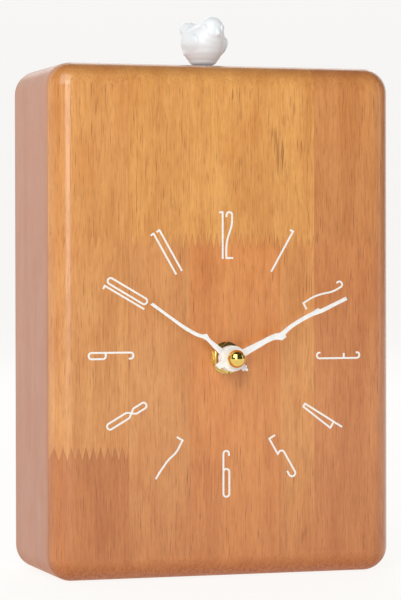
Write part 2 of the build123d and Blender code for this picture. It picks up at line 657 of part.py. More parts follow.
HOUR_OUTLINE = (
    (-2.2, 4.0), (-1.1, 8.6), (-0.7, 11.6), (-1.4, 15.0), (-2.2, 28.0), (-2.2, 38.9), (-0.9, 38.5),
    (-0.5, 33.0), (-0.1, 27.0), (0.1, 15.9), (1.8, 13.6), (1.0, 12.0), (0.6, 9.4), (1.2, 4.0),
)
HOUR_TAIL = (
    (-1.2, -4.0), (-1.1, -5.4), (-1.6, -6.8), (-0.8, -7.0), (-0.7, -8.1), (0.2, -8.1), (0.4, -7.2),
    (1.2, -6.8), (0.9, -5.6), (1.2, -4.0),
)
MINUTE_OUTLINE = (
    (-1.5, 4.0), (-1.2, 12.9), (-1.0, 19.0), (-0.3, 21.4), (-1.3, 27.5), (-1.6, 33.0), (-1.6, 37.8),
    (-1.8, 39.6), (-0.8, 40.3), (-0.5, 52.0), (0.9, 52.0), (0.6, 40.2), (0.0, 36.9), (0.0, 31.0),
    (0.5, 26.0), (1.4, 22.9), (2.5, 22.8), (2.6, 20.8), (1.0, 18.2), (1.0, 12.3), (1.3, 4.0),
)
MINUTE_TAIL = ((-1.6, -4.0), (-1.4, -6.5), (-1.0, -7.8), (1.0, -6.9), (1.1, -4.0))


def hand(label, boss, bore, angle, outlines):
    """A flat blade on a round boss, turned clockwise from 12 by the angle."""
    with BuildPart() as piece:
        disc(BOSS_R, *boss)
        with BuildSketch(dial_plane(boss[0] + HAND_T, turn=angle), mode=Mode.PRIVATE) as blade:
            for outline in outlines:
                with BuildLine():
                    Polyline(*outline, close=True)
                make_face()
        extrude(blade.sketch, amount=HAND_T)
        disc(bore, *boss, mode=Mode.SUBTRACT)
    finish(piece, label)


hand("hour_hand", HOUR_BOSS, PIPE_R, HOUR_HAND_ANGLE, (HOUR_OUTLINE, HOUR_TAIL))
hand("minute_hand", MINUTE_BOSS, SPIGOT_R, MINUTE_HAND_ANGLE, (MINUTE_OUTLINE, MINUTE_TAIL))

with BuildPart() as cap_nut:
    with Locations((0, FRONT_Y + CAP_CENTRE, DIAL_Z)):
        Sphere(CAP_R)
    disc(CAP_R + 1, MINUTE_BOSS[0], MINUTE_BOSS[0] + 2, mode=Mode.SUBTRACT)
    disc(SPIGOT_R, CAP_CENTRE, MINUTE_BOSS[0], mode=Mode.SUBTRACT)
finish(cap_nut, "cap_nut")

# ====================================================================================
# Bird button in the top board
# ====================================================================================

with BuildPart() as button_bush:
    with BuildSketch(Plane.XY.offset(CASE_H - BOARD_T)):
        Circle(BUSHING_R)
        Circle(ROD_R + RUN, mode=Mode.SUBTRACT)
    extrude(amount=BOARD_T)
    with BuildSketch(Plane.XY.offset(SPRING_SEAT_Z)):
        Circle(PLUNGER_R + RUN)
    extrude(amount=CASE_H - SPRING_SEAT_Z, mode=Mode.SUBTRACT)
finish(button_bush, "button_bush")

with BuildPart() as button_plunger:
    with BuildSketch(Plane.XY.offset(ROD_END_Z)):
        Circle(ROD_R)
    extrude(amount=PLUNGER_BASE_Z - ROD_END_Z)
    with BuildSketch(Plane.XY.offset(PLUNGER_BASE_Z)):
        Circle(PLUNGER_R)
    extrude(amount=BIRD_BASE_Z - PLUNGER_BASE_Z)
finish(button_plunger, "button_plunger")

SPRING_R = 3.3
WIRE_R = 0.2
with BuildPart() as button_spring:
    with BuildLine(Plane.XY.offset(SPRING_SEAT_Z + WIRE_R)) as coil_path:
        Helix(pitch=1.6, height=PLUNGER_BASE_Z - SPRING_SEAT_Z - 2 * WIRE_R, radius=SPRING_R)
    with BuildSketch(Plane(origin=coil_path.line @ 0, z_dir=coil_path.line % 0)):
        Circle(WIRE_R)
    sweep(path=coil_path.line, is_frenet=True)
finish(button_spring, "button_spring")

CLIP_Z = CASE_H - BOARD_T - 0.8
with BuildPart() as retaining_clip:
    with BuildSketch(Plane.XY.offset(CLIP_Z)):
        Circle(3.8)
        Circle(ROD_R, mode=Mode.SUBTRACT)
        with Locations((0, 3.0)):
            Rectangle(2.4, 6.0, mode=Mode.SUBTRACT)
    extrude(amount=0.8)
finish(retaining_clip, "retaining_clip")

SWITCH_TOP_Z = 178.0
STEM_R = 1.5
STEM_IN = 3.4             # how much of the stem is inside the switch at rest
with BuildPart() as push_switch_body:
    block((-4, 4), (-4, 4), (172.0, SWITCH_TOP_Z))
    with BuildSketch(Plane.XY.offset(SWITCH_TOP_Z)):
        Circle(STEM_R + RUN)
    extrude(amount=-(STEM_IN + BUTTON_TRAVEL + 0.3), mode=Mode.SUBTRACT)
finish(push_switch_body, "push_switch_body")

with BuildPart() as push_switch_stem:
    with BuildSketch(Plane.XY.offset(SWITCH_TOP_Z - STEM_IN)):
        Circle(STEM_R)
    extrude(amount=ROD_END_Z - SWITCH_TOP_Z + STEM_IN)
finish(push_switch_stem, "push_switch_stem")

with BuildPart() as switch_bracket:
    block((-12, 12), (-5, 5), (170.0, 172.0))
    for side in (-1, 1):
        block(sorted((side * 10, side * 12)), (-5, 5), (172.0, CASE_H - BOARD_T))
        block(sorted((side * 12, side * 17)), (-5, 5), (CASE_H - BOARD_T - 1.5, CASE_H - BOARD_T))
finish(switch_bracket, "switch_bracket")


def facing(turn, tilt=0.0):
    """Unit vector to the front, turned towards +X and tilted up by degrees."""
    level = cos(radians(tilt))
    return Vector(level * sin(radians(turn)), -level * cos(radians(turn)), sin(radians(tilt)))


def leaning(centre, turn, tilt):
    """Plane whose x axis is turned and tilted."""
    return Plane(origin=centre, x_dir=facing(turn, tilt), z_dir=facing(turn - 90))


def from_middle(turn, distance, z):
    """A point at a height, some way from the button's axis in the direction of turn."""
    return facing(turn) * distance + Vector(0, 0, z)


WING_SIDE = 5.6
with BuildPart() as bird:
    with BuildSketch(Plane.XZ):
        with BuildLine():
            Polyline((0, 217.6), (0, BIRD_BASE_Z), (PLUNGER_R - 0.2, BIRD_BASE_Z))
            Spline(
                (PLUNGER_R - 0.2, BIRD_BASE_Z), (8.2, 206.2), (8.9, 210.6), (6.6, 215.6), (0, 217.6),
                tangents=((0.6, 0.8), (-1, 0)),
            )
        make_face()
    revolve(axis=Axis.Z)
    egg(leaning(from_middle(BODY_TURN, 5.0, 216.4), 0, 90), 4.5, 4.7)
    beak_middle = from_middle(BODY_TURN, 5.0, 215.6) + facing(HEAD_TURN) * 4.2
    egg(leaning(beak_middle, HEAD_TURN, -28), 2.6, 1.4)
    egg(leaning(from_middle(BODY_TURN, -7.6, 215.6), BODY_TURN, -28), 5.4, 3.2)
    for side in (-90, 90):
        egg(leaning(from_middle(BODY_TURN + side, WING_SIDE, 209.6), BODY_TURN, 24), 6.6, 4.2)
    split(bisect_by=Plane.XY.offset(BIRD_BASE_Z), keep=Keep.TOP)
finish(bird, "bird")

# ====================================================================================
# Sound unit: speaker, board, switch and battery box inside the back panel
# ====================================================================================

SPEAKER_REAR = BACK_INNER_Y
with BuildPart() as speaker_frame:
    with BuildSketch(face_plane(SPEAKER_REAR, SPEAKER_Z)):
        Circle(SPEAKER_R)
        Circle(SPEAKER_R - 2.0, mode=Mode.SUBTRACT)
    extrude(amount=2.0)
    with BuildSketch(face_plane(SPEAKER_REAR - 2.0, SPEAKER_Z)):
        Circle(SPEAKER_R - 1.0)
    extrude(amount=3.0, taper=25)
    with BuildSketch(face_plane(SPEAKER_REAR, SPEAKER_Z)):
        Circle(SPEAKER_R - 2.0)
    extrude(amount=4.2, taper=22, mode=Mode.SUBTRACT)
finish(speaker_frame, "speaker_frame")

with BuildPart() as speaker_cone:
    with BuildSketch(face_plane(SPEAKER_REAR - 1.0, SPEAKER_Z)):
        Circle(SPEAKER_R - 2.6)
    extrude(amount=3.0, taper=35)
    with BuildSketch(face_plane(SPEAKER_REAR - 1.0, SPEAKER_Z)):
        Circle(SPEAKER_R - 3.2)
    extrude(amount=2.6, taper=35, mode=Mode.SUBTRACT)
finish(speaker_cone, "speaker_cone")

with BuildPart() as speaker_magnet:
    with BuildSketch(face_plane(SPEAKER_REAR - 5.0, SPEAKER_Z)):
        Circle(10.0)
    extrude(amount=5.0)
    chamfer(speaker_magnet.faces().sort_by(Axis.Y)[0].edges(), 0.6)
finish(speaker_magnet, "speaker_magnet")

BOX_WALL = 1.5
BOX_Y = (BACK_INNER_Y - BOX_D, BACK_INNER_Y)
INNER_END = BOX_W / 2 - BOX_WALL
INNER_TOP = BOX_H / 2 - BOX_WALL
RIB_D = 3.5               # rib between the two cells
with BuildPart() as battery_box:
    block(around(0, BOX_W / 2), BOX_Y, around(BOX_Z, BOX_H / 2))
    block(around(0, INNER_END), (BOX_Y[0] + BOX_WALL, BOX_Y[1]), around(BOX_Z, INNER_TOP), Mode.SUBTRACT)
    block(around(0, INNER_END), (BOX_Y[0] + BOX_WALL, BOX_Y[0] + BOX_WALL + RIB_D), around(BOX_Z, 0.6))
finish(battery_box, "battery_box")

CELL_ROWS = (BOX_Z - 7.8, BOX_Z + 7.8)
ROW_Y = BOX_Y[0] + BOX_WALL + BATTERY_R + 0.1
battery("sound_batteries", [(0, ROW_Y, cell_z) for cell_z in CELL_ROWS])

CONTACT_PLATE_T = 0.4
SPRING_TURN_R = 3.2
SPRING_WIRE = 0.5
with BuildPart() as battery_springs:
    for cell_z in CELL_ROWS:
        block((-INNER_END, CONTACT_PLATE_T - INNER_END), around(ROW_Y, 4), around(cell_z, 4))
        block((INNER_END - CONTACT_PLATE_T, INNER_END), around(ROW_Y, 4), around(cell_z, 4))
        for turn in range(3):
            start = 1.2 + 1.6 * turn - INNER_END
            rod(start, SPRING_WIRE, SPRING_TURN_R, ROW_Y, cell_z)
            rod(start, SPRING_WIRE, SPRING_TURN_R - SPRING_WIRE, ROW_Y, cell_z, Mode.SUBTRACT)
        block(
            (CONTACT_PLATE_T - INNER_END, 4.9 - INNER_END), around(ROW_Y, 0.3),
            (cell_z - SPRING_TURN_R, cell_z - SPRING_TURN_R + SPRING_WIRE),
        )
        block((BATTERY_L / 2 + NUB_L, INNER_END - CONTACT_PLATE_T), around(ROW_Y, 2), around(cell_z, 0.3))
finish(battery_springs, "battery_springs")

DOOR_GAP = 0.3
GRIP_LINES = 4
with BuildPart() as battery_door:
    with BuildSketch(face_plane(REAR_Y, BOX_Z)):
        RectangleRounded(DOOR_HOLE_W - 2 * DOOR_GAP, DOOR_HOLE_H - 2 * DOOR_GAP, 1.8)
    extrude(amount=2.0)
    with BuildSketch(face_plane(REAR_Y, BOX_Z + 7.3)):
        with GridLocations(0, 1.8, 1, GRIP_LINES):
            Rectangle(14.0, 0.8)
    extrude(amount=0.6, mode=Mode.SUBTRACT)
finish(battery_door, "battery_door")

BOARD_FRONT = BACK_INNER_Y - 1.6
with BuildPart() as sound_board:
    block((-52, -24), (BOARD_FRONT, BACK_INNER_Y), (18, 50))
finish(sound_board, "sound_board")

with BuildPart() as sound_board_parts:
    block((-44, -36), (BOARD_FRONT - 1.6, BOARD_FRONT), (30, 40))
    for part_x in (-49.0, -29.0):
        with BuildSketch(face_plane(BOARD_FRONT, 26.0, part_x)):
            Circle(2.5)
        extrude(amount=7.0)
finish(sound_board_parts, "sound_board_parts")

SWITCH_D = 5.0
SLOT_D = 3.0
with BuildPart() as slide_switch_body:
    block(around(SWITCH_X, 6), (BACK_INNER_Y - SWITCH_D, BACK_INNER_Y), around(SPEAKER_Z, 3))
    block(
        around(SWITCH_X, (KNOB_W + SLIDE) / 2 + 0.1), (BACK_INNER_Y - SLOT_D, BACK_INNER_Y),
        around(SPEAKER_Z, KNOB_H / 2 + 0.1), Mode.SUBTRACT,
    )
finish(slide_switch_body, "slide_switch_body")

with BuildPart() as slide_switch_knob:
    block(
        (SWITCH_X - (KNOB_W + SLIDE) / 2, SWITCH_X + (KNOB_W - SLIDE) / 2),
        (BACK_INNER_Y - SLOT_D + 0.1, REAR_Y - 0.4), around(SPEAKER_Z, KNOB_H / 2),
    )
finish(slide_switch_knob, "slide_switch_knob")
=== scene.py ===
import json
from math import cos, pi, radians, sin

import bmesh
import bpy
from mathutils import Matrix, Vector


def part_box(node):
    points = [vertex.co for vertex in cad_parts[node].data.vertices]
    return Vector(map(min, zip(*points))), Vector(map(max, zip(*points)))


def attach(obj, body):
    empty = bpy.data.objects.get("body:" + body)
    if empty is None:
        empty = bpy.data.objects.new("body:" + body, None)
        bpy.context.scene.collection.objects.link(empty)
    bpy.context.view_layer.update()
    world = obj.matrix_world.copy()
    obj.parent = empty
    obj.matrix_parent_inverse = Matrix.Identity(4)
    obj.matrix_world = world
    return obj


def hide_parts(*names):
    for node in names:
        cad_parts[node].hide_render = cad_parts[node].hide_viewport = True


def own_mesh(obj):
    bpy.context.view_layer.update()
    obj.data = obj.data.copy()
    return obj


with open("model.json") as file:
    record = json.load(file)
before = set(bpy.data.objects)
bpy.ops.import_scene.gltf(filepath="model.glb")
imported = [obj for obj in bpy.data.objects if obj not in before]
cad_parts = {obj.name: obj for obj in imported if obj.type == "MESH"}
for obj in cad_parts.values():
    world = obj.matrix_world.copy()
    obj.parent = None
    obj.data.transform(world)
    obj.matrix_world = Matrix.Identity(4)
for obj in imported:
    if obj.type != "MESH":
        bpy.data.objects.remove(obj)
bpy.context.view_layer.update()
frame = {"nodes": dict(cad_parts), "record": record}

# ---- places, in metres, from the CAD model -------------------------------------------
MM = 0.001
PANEL_LO, PANEL_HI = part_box("front_panel")
FACE_Y = PANEL_LO.y                      # the dial's face
SEAM_Y = PANEL_HI.y                      # glue line between the front panel and the frame
CASE_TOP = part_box("top_board")[1].z
NUT_LO, NUT_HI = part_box("hex_nut")
AXIS_Z = (NUT_LO.z + NUT_HI.z) / 2       # height of the hands' axis
BIRD_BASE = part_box("bird")[0].z

# ---- shapes, in millimetres ----------------------------------------------------------
HOUR_HAND_ANGLE = 304.0                  # clockwise from 12, at rest
MINUTE_HAND_ANGLE = 63.5
HOUR_BOSS = (-7.0, -4.9)                 # front and rear, as depth behind the dial's face
MINUTE_BOSS = (-9.5, -7.7)
BLADE_T = 0.8
BOSS_R = 5.0
NUT = (-3.2, -0.6)                       # front and rear
NUT_FLATS = 11.0
WASHER = (-0.6, 0.0)
WASHER_R = 6.3
BUSH_R = 4.0                             # M8 thread
BUSH_FRONT = -4.2
PIPE_R = 2.75                            # bore of the hour hand
SPIGOT_R = 1.4                           # bore of the minute hand
CAP_R = 3.5
CAP_CENTRE = -12.9
BODY_TURN = 22.0                         # the bird's body, turned from the front towards +X
HEAD_TURN = -2.0
CASE_HALF_W = 70.0
STAVE_EDGES = (-39.5, -14.8, 22.0, 36.6)     # glue lines between the front's staves, along X
UPPER_JOINT_Z = 126.4                    # finger joints across the staves
LOWER_JOINT_Z = 46.5
UPPER_FINGER = (2.5, 6.2)                # pitch and height
LOWER_FINGER = (2.9, 5.4)
STREAK_AT = (23.4, 168)                  # a short run of dark pores, X and Z

# ---- camera --------------------------------------------------------------------------
CAMERA_AT = Vector((-0.3194, -1.0027, 0.1204))
CAMERA_YAW = 17.61                       # degrees to the right of straight ahead
CAMERA_PITCH = 0.68                      # degrees down
CAMERA_ROLL = -0.105
CAMERA_LENS = 157.9                      # mm on a 36 mm sensor


# ======================================================================================
# Helpers
# ======================================================================================

def linear(r, g, b):
    """A display colour, 0 to 255, as the linear colour that a shader takes."""
    out = []
    for value in (r, g, b):
        v = max(0.0, min(value, 255)) / 255
        out.append(v / 12.92 if v <= 0.04045 else ((v + 0.055) / 1.055) ** 2.4)
    return (*out, 1.0)


class Shader:
    """A material and its node tree, with short calls to add and join nodes."""

    def __init__(self, name):
        self.material = bpy.data.materials.new(name)
        self.material.use_nodes = True
        self.tree = self.material.node_tree
        self.tree.nodes.clear()
        self.out = self.tree.nodes.new("ShaderNodeOutputMaterial")
        self.bsdf = self.tree.nodes.new("ShaderNodeBsdfPrincipled")
        self.tree.links.new(self.bsdf.outputs[0], self.out.inputs[0])

    def node(self, kind, **settings):
        """Adds a node of a kind, with its own settings."""
        made = self.tree.nodes.new(kind)
        for key, value in settings.items():
            setattr(made, key, value)
        return made

    def put(self, socket, value):
        """Sets a socket to a number or colour, or joins it to another node's output."""
        if isinstance(value, bpy.types.NodeSocket):
            self.tree.links.new(value, socket)
        else:
            socket.default_value = value

    def surface(self, **sockets):
        """Sets or joins sockets of the surface shader, named with _ for a space."""
        for name, value in sockets.items():
            self.put(self.bsdf.inputs[name.replace("_", " ")], value)

    def place(self, scale=(1.0, 1.0, 1.0), shift=(0.0, 0.0, 0.0)):
        """Object coordinates in millimetres, scaled and moved."""
        coords = self.node("ShaderNodeTexCoord")
        mapping = self.node("ShaderNodeMapping")
        self.put(mapping.inputs["Vector"], coords.outputs["Object"])
        mapping.inputs["Scale"].default_value = [s / MM for s in scale]
        mapping.inputs["Location"].default_value = shift
        return mapping.outputs[0]

    def axes(self, vector):
        """The X, Y and Z of a vector."""
        made = self.node("ShaderNodeSeparateXYZ")
        self.put(made.inputs[0], vector)
        return made.outputs[0], made.outputs[1], made.outputs[2]

    def normal_axes(self):
        """The X, Y and Z of the surface's own direction."""
        return self.axes(self.node("ShaderNodeTexCoord").outputs["Normal"])

    def noise(self, vector, scale=1.0, detail=2.0, roughness=0.5, distortion=0.0, w=None):
        """Soft noise at a place; w, where given, picks a different pattern."""
        made = self.node("ShaderNodeTexNoise")
        if w is not None:
            made.noise_dimensions = "4D"
            self.put(made.inputs["W"], w)
        self.put(made.inputs["Vector"], vector)
        made.inputs["Scale"].default_value = scale
        made.inputs["Detail"].default_value = detail
        made.inputs["Roughness"].default_value = roughness
        made.inputs["Distortion"].default_value = distortion
        return made.outputs["Fac"]

    def math(self, operation, a, b=0.0, clamp=False):
        """One sum on one or two values."""
        made = self.node("ShaderNodeMath", operation=operation, use_clamp=clamp)
        self.put(made.inputs[0], a)
        self.put(made.inputs[1], b)
        return made.outputs[0]

    def ramp(self, value, *stops, interpolation="LINEAR"):
        """Colour ramp; each stop is (position, colour or grey)."""
        made = self.node("ShaderNodeValToRGB")
        made.color_ramp.interpolation = interpolation
        elements = made.color_ramp.elements
        while len(elements) < len(stops):
            elements.new(0.5)
        for element, (position, colour) in zip(elements, stops):
            element.position = position
            element.color = colour if hasattr(colour, "__len__") else (colour, colour, colour, 1.0)
        self.put(made.inputs["Fac"], value)
        return made.outputs["Color"]

    def span(self, value, low, high, out_low=0.0, out_high=1.0):
        """Maps a value from low..high to out_low..out_high, held at both ends."""
        made = self.node("ShaderNodeMapRange")
        self.put(made.inputs["Value"], value)
        settings = {"From Min": low, "From Max": high, "To Min": out_low, "To Max": out_high}
        for name, setting in settings.items():
            made.inputs[name].default_value = setting
        return made.outputs["Result"]

    def mix(self, factor, a, b, blend="MIX"):
        """Colour a at a factor of 0, running to colour b at 1."""
        made = self.node("ShaderNodeMix", data_type="RGBA", blend_type=blend)
        self.put(made.inputs[0], factor)
        self.put(made.inputs[6], a)
        self.put(made.inputs[7], b)
        return made.outputs[2]

    def near(self, value, middle, half, soft):
        """1 where a value is within half of the middle, falling to 0 over soft."""
        away = self.math("ABSOLUTE", self.math("SUBTRACT", value, middle))
        return self.span(away, half, half + soft, 1.0, 0.0)

    def relief(self, height, distance, strength):
        """Bumps the surface: distance, in metres, is how far a height of 1 stands up."""
        made = self.node("ShaderNodeBump")
        self.put(made.inputs["Height"], height)
        made.inputs["Distance"].default_value = distance
        made.inputs["Strength"].default_value = strength
        self.put(self.bsdf.inputs["Normal"], made.outputs["Normal"])


def give(node, material):
    """Puts a material on a CAD node, in every slot it has."""
    mesh = frame["nodes"][node].data
    mesh.materials.clear()
    mesh.materials.append(material)


def add_piece(name, mesh, body, slot, replaced):
    """Links a new piece, and says what it rides on, stands for and takes its finish from."""
    mesh.materials.clear()
    mesh.materials.append(MATERIALS[slot])
    piece = bpy.data.objects.new(name, mesh)
    bpy.context.scene.collection.objects.link(piece)
    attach(piece, body)
    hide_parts(*replaced)
    return piece


def shade(mesh, sharp_angle=40.0):
    """Smooth shading, kept sharp at edges steeper than an angle in degrees."""
    work = bmesh.new()
    work.from_mesh(mesh)
    for face in work.faces:
        face.smooth = True
    for edge in work.edges:
        edge.smooth = not (edge.is_manifold and edge.calc_face_angle() > radians(sharp_angle))
    work.to_mesh(mesh)
    work.free()


def applied(mesh, modifiers):
    """A mesh after some modifiers, each given as (kind, settings)."""
    holder = bpy.data.objects.new("working", mesh)
    bpy.context.scene.collection.objects.link(holder)
    for kind, settings in modifiers:
        modifier = holder.modifiers.new(kind, kind)
        for key, value in settings.items():
            setattr(modifier, key, value)
    graph = bpy.context.evaluated_depsgraph_get()
    graph.update()
    made = bpy.data.meshes.new_from_object(holder.evaluated_get(graph))
    bpy.data.objects.remove(holder)
    return made


def closed_mesh(work, name):
    """Ends a bmesh build of a closed surface: faces turned outwards, and into a new mesh."""
    bmesh.ops.recalc_face_normals(work, faces=work.faces)
    mesh = bpy.data.meshes.new(name)
    work.to_mesh(mesh)
    work.free()
    return mesh


def combined(mesh, other, operation):
    """The union, difference or intersection of two closed meshes."""
    tool = bpy.data.objects.new("tool", other)
    bpy.context.scene.collection.objects.link(tool)
    made = applied(mesh, [("BOOLEAN", {"object": tool, "operation": operation, "solver": "EXACT"})])
    bpy.data.objects.remove(tool)
    return made


def lathe(profile, turns=96):
    """Closed mesh turned about the hands' axis.

    The profile is a closed loop of (radius, depth behind the dial's face) in mm; a point
    of radius 0 lies on the axis.
    """
    work = bmesh.new()
    rings = []
    for radius, depth in profile:
        y = FACE_Y + depth * MM
        if radius == 0:
            rings.append([work.verts.new((0, y, AXIS_Z))])
            continue
        ring = []
        for step in range(turns):
            a = 2 * pi * step / turns
            ring.append(work.verts.new((radius * MM * cos(a), y, AXIS_Z + radius * MM * sin(a))))
        rings.append(ring)
    for ring, after in zip(rings, rings[1:] + rings[:1]):
        for step in range(turns):
            quad = [ring[step % len(ring)], ring[(step + 1) % len(ring)],
                    after[(step + 1) % len(after)], after[step % len(after)]]
            corners = list(dict.fromkeys(quad))
            if len(corners) > 2:
                work.faces.new(corners)
    return closed_mesh(work, "lathe")


def rounded(centre_r, centre_depth, size, turn_from, turn_to, steps=6):
    """Points of an arc on a lathe profile, with a radius of size."""
    points = []
    for step in range(steps + 1):
        a = radians(turn_from + (turn_to - turn_from) * step / steps)
        points.append((centre_r + size * cos(a), centre_depth + size * sin(a)))
    return points


# ======================================================================================
# Materials
# ======================================================================================

def wood_detail(s, base, long_axis, stave=0.0, depth_of_grain=1.0):
    """Adds the grain of a fine, open-pored hardwood to a base colour.

    long_axis is the way the fibres run.  stave makes each board's grain its own.
    Returns the colour and the pores, for the relief.
    """
    def along(across, length):
        """Places, scaled by one number across the fibres and by another along them."""
        return s.place([length if axis == long_axis else across for axis in "XYZ"])

    def tint(fac, low, high, dark, light):
        """The colour so far, darkened where fac is low and lightened where it is high."""
        darker = [1 - depth_of_grain * c for c in dark] + [1]
        lighter = [1 + depth_of_grain * c for c in light] + [1]
        middle = (low + high) / 2
        return s.mix(1.0, colour, s.ramp(fac, (low, darker), (middle, 1.0), (high, lighter)), "MULTIPLY")

    colour = base
    bands = s.noise(along(0.15, 0.014), detail=3, distortion=0.3, w=stave)
    colour = tint(bands, 0.36, 0.66, (0.09, 0.14, 0.19), (0.05, 0.08, 0.10))
    clouds = s.noise(along(0.13, 0.05), detail=3, w=stave)
    colour = tint(clouds, 0.34, 0.66, (0.05, 0.10, 0.16), (0.01, 0.03, 0.05))
    mottle = s.noise(along(0.55, 0.17), detail=3, roughness=0.6, w=stave)
    colour = tint(mottle, 0.34, 0.68, (0.05, 0.09, 0.13), (0.04, 0.05, 0.06))
    fibre = s.noise(along(2.0, 0.075), detail=3, roughness=0.7, w=stave)
    colour = tint(fibre, 0.32, 0.70, (0.12, 0.18, 0.24), (0.05, 0.07, 0.09))
    fine = s.span(s.noise(along(5.0, 0.20), detail=1, w=stave), 0.62, 0.70)
    coarse = s.span(s.noise(along(3.8, 0.11), detail=1, w=stave), 0.64, 0.70)
    pores = s.math("MAXIMUM", s.math("MULTIPLY", fine, 0.5), coarse)
    colour = s.mix(s.math("MULTIPLY", pores, 0.60 * depth_of_grain), colour, linear(122, 58, 24))
    return colour, pores


def lacquer(s, colour, pores, gloss):
    """A satin clear lacquer that sinks a little into the pores, thin on the underside."""
    coat = s.span(s.normal_axes()[2], -0.55, -0.05, 0.0, gloss)
    sheen_noise = s.noise(s.place((0.05, 0.05, 0.05)), detail=2)
    s.surface(Base_Color=colour, Roughness=s.span(sheen_noise, 0.3, 0.7, 0.46, 0.56))
    s.surface(Coat_Weight=coat, Coat_Roughness=0.17, Coat_IOR=1.5, IOR=1.4)
    s.relief(pores, -0.00003, 0.5)
    return s.material


def zigzag(s, x, finger):
    """Finger joint outline: rises and falls by the finger's height with each pitch along x."""
    pitch, height = finger
    return s.math("MULTIPLY", s.math("PINGPONG", x, pitch / 2), 2 * height / pitch)


def front_wood():
    """The front panel, glued up from upright staves, some joined end to end by fingers."""
    s = Shader("wood_front")
    x, y, z = s.axes(s.place())
    across = s.span(x, -CASE_HALF_W, CASE_HALF_W)
    edges = [(edge + CASE_HALF_W) / (2 * CASE_HALF_W) for edge in STAVE_EDGES]

    def staves(*colours):
        """One colour or grey for each stave, from left to right."""
        return s.ramp(across, (0.0, colours[0]), *zip(edges, colours[1:]), interpolation="CONSTANT")

    wander = s.math("MULTIPLY", s.noise(s.place((0.3, 0.0, 0.0)), detail=1), 3.0)
    upper_joint = s.math("ADD", zigzag(s, x, UPPER_FINGER), s.math("ADD", wander, UPPER_JOINT_Z))
    above = s.span(s.math("SUBTRACT", z, upper_joint), -0.25, 0.25)
    lower_joint = s.math("ADD", zigzag(s, x, LOWER_FINGER), LOWER_JOINT_Z)
    below = s.span(s.math("SUBTRACT", lower_joint, z), -0.25, 0.25)
    first_stave = s.span(x, STAVE_EDGES[0] - 0.1, STAVE_EDGES[0] + 0.1, 1.0, 0.0)
    corner = s.math("MULTIPLY", below, first_stave)
    low = staves(linear(219, 151, 86), linear(216, 147, 85), linear(220, 142, 77), linear(219, 149, 84),
                 linear(207, 132, 75))
    high = staves(linear(219, 151, 84), linear(226, 160, 87), linear(228, 162, 88), linear(226, 160, 87),
                  linear(205, 133, 76))
    base = s.mix(above, low, high)
    base = s.mix(s.math("MULTIPLY", corner, 0.9), base, linear(190, 114, 58))
    # painted shade: the front runs darker and browner towards the bottom
    painted_foot_shade = s.span(z, 2, 62, 0.80, 0.0)
    base = s.mix(painted_foot_shade, base, linear(194, 116, 54))
    # painted light: the front runs lighter and yellower towards the top
    painted_crown_light = s.span(z, 120, 190, 0.0, 0.25)
    base = s.mix(painted_crown_light, base, linear(230, 162, 86))
    number = staves(0.1, 0.35, 0.6, 0.8, 1.0)
    piece_of_stave = s.math("ADD", s.math("MULTIPLY", above, 1.7), corner)
    stave = s.math("ADD", s.math("MULTIPLY", number, 9.0), piece_of_stave)
    colour, pores = wood_detail(s, base, "Z", stave)

    sway = s.math("MULTIPLY", s.noise(s.place((0, 0, 0.12))), 2.0)
    near_streak = s.near(s.math("ADD", x, sway), STREAK_AT[0], 0.5, 3.4)
    streak = s.math("MULTIPLY", near_streak, s.near(z, STREAK_AT[1], 5, 8))
    dark_pores = s.span(s.noise(s.place((1.7, 1.7, 0.09), (4, 2, 9)), detail=1), 0.50, 0.60)
    darkened = s.math("MULTIPLY", s.math("MULTIPLY", streak, dark_pores), 0.75)
    colour = s.mix(darkened, colour, linear(116, 58, 28))

    upper_line = s.near(s.math("SUBTRACT", z, upper_joint), 0, 0.1, 0.8)
    upper_line = s.math("MULTIPLY", upper_line, s.near(x, -2, 24, 1))
    lower_line = s.near(s.math("SUBTRACT", z, lower_joint), 0, 0.1, 0.9)
    lower_line = s.math("MULTIPLY", lower_line, s.span(x, -40, -39.4, 1, 0))
    lines = s.math("MAXIMUM", upper_line, lower_line)
    for edge in STAVE_EDGES:
        lines = s.math("MAXIMUM", lines, s.math("MULTIPLY", s.near(x, edge, 0.03, 0.22), 0.7))
    colour = s.mix(s.math("MULTIPLY", lines, 0.30), colour, linear(150, 84, 44))

    nz = s.normal_axes()[2]
    # darker across the grain on the top and bottom round-overs: end grain on top; on the underside end
    # grain with painted shade, about twice as strong
    end_grain_and_underside_shade = s.math("ADD", s.span(nz, 0.45, 0.95, 0.0, 0.45), s.span(nz, -0.85, -0.15, 0.92, 0.0))
    end_dots = s.noise(s.place((1.6, 0.7, 0.7)), detail=2)
    end_grain_and_shade_colour = s.ramp(end_dots, (0.35, linear(146, 78, 44)), (0.65, linear(186, 110, 64)))
    colour = s.mix(end_grain_and_underside_shade, colour, end_grain_and_shade_colour)
    # a dark line along the seam with the frame: the glue joint, deepened by painted shade as if in a
    # groove
    seam_glue_and_shade = s.near(y, SEAM_Y / MM, 0.12, 0.25)
    colour = s.mix(s.math("MULTIPLY", seam_glue_and_shade, 0.55), colour, linear(150, 92, 62))
    return lacquer(s, colour, pores, 1.0)


def frame_wood(name, long_axis, base):
    """The frame boards: the same wood, paler and pinker, partly their own tone and partly a painted
    reflection of the pale surroundings, with painted shade towards the bottom and the grain along each
    board.
    """
    s = Shader(name)
    colour, pores = wood_detail(s, linear(*base), long_axis, 4.2, depth_of_grain=0.45)
    _, y, z = s.axes(s.place())
    # painted shade: the frame boards run darker and warmer towards the bottom
    painted_low_shade = s.ramp(s.span(z, 20, 190), (0.0, (0.96, 0.88, 0.80, 1)), (1.0, 1.0))
    colour = s.mix(1.0, colour, painted_low_shade, "MULTIPLY")
    # a dark line along the seam with the front: the glue joint, deepened by painted shade as if in a
    # groove
    seam_glue_and_shade = s.near(y, SEAM_Y / MM, 0.06, 0.2)
    colour = s.mix(s.math("MULTIPLY", seam_glue_and_shade, 0.5), colour, linear(142, 92, 70))
    return lacquer(s, colour, pores, 0.3)


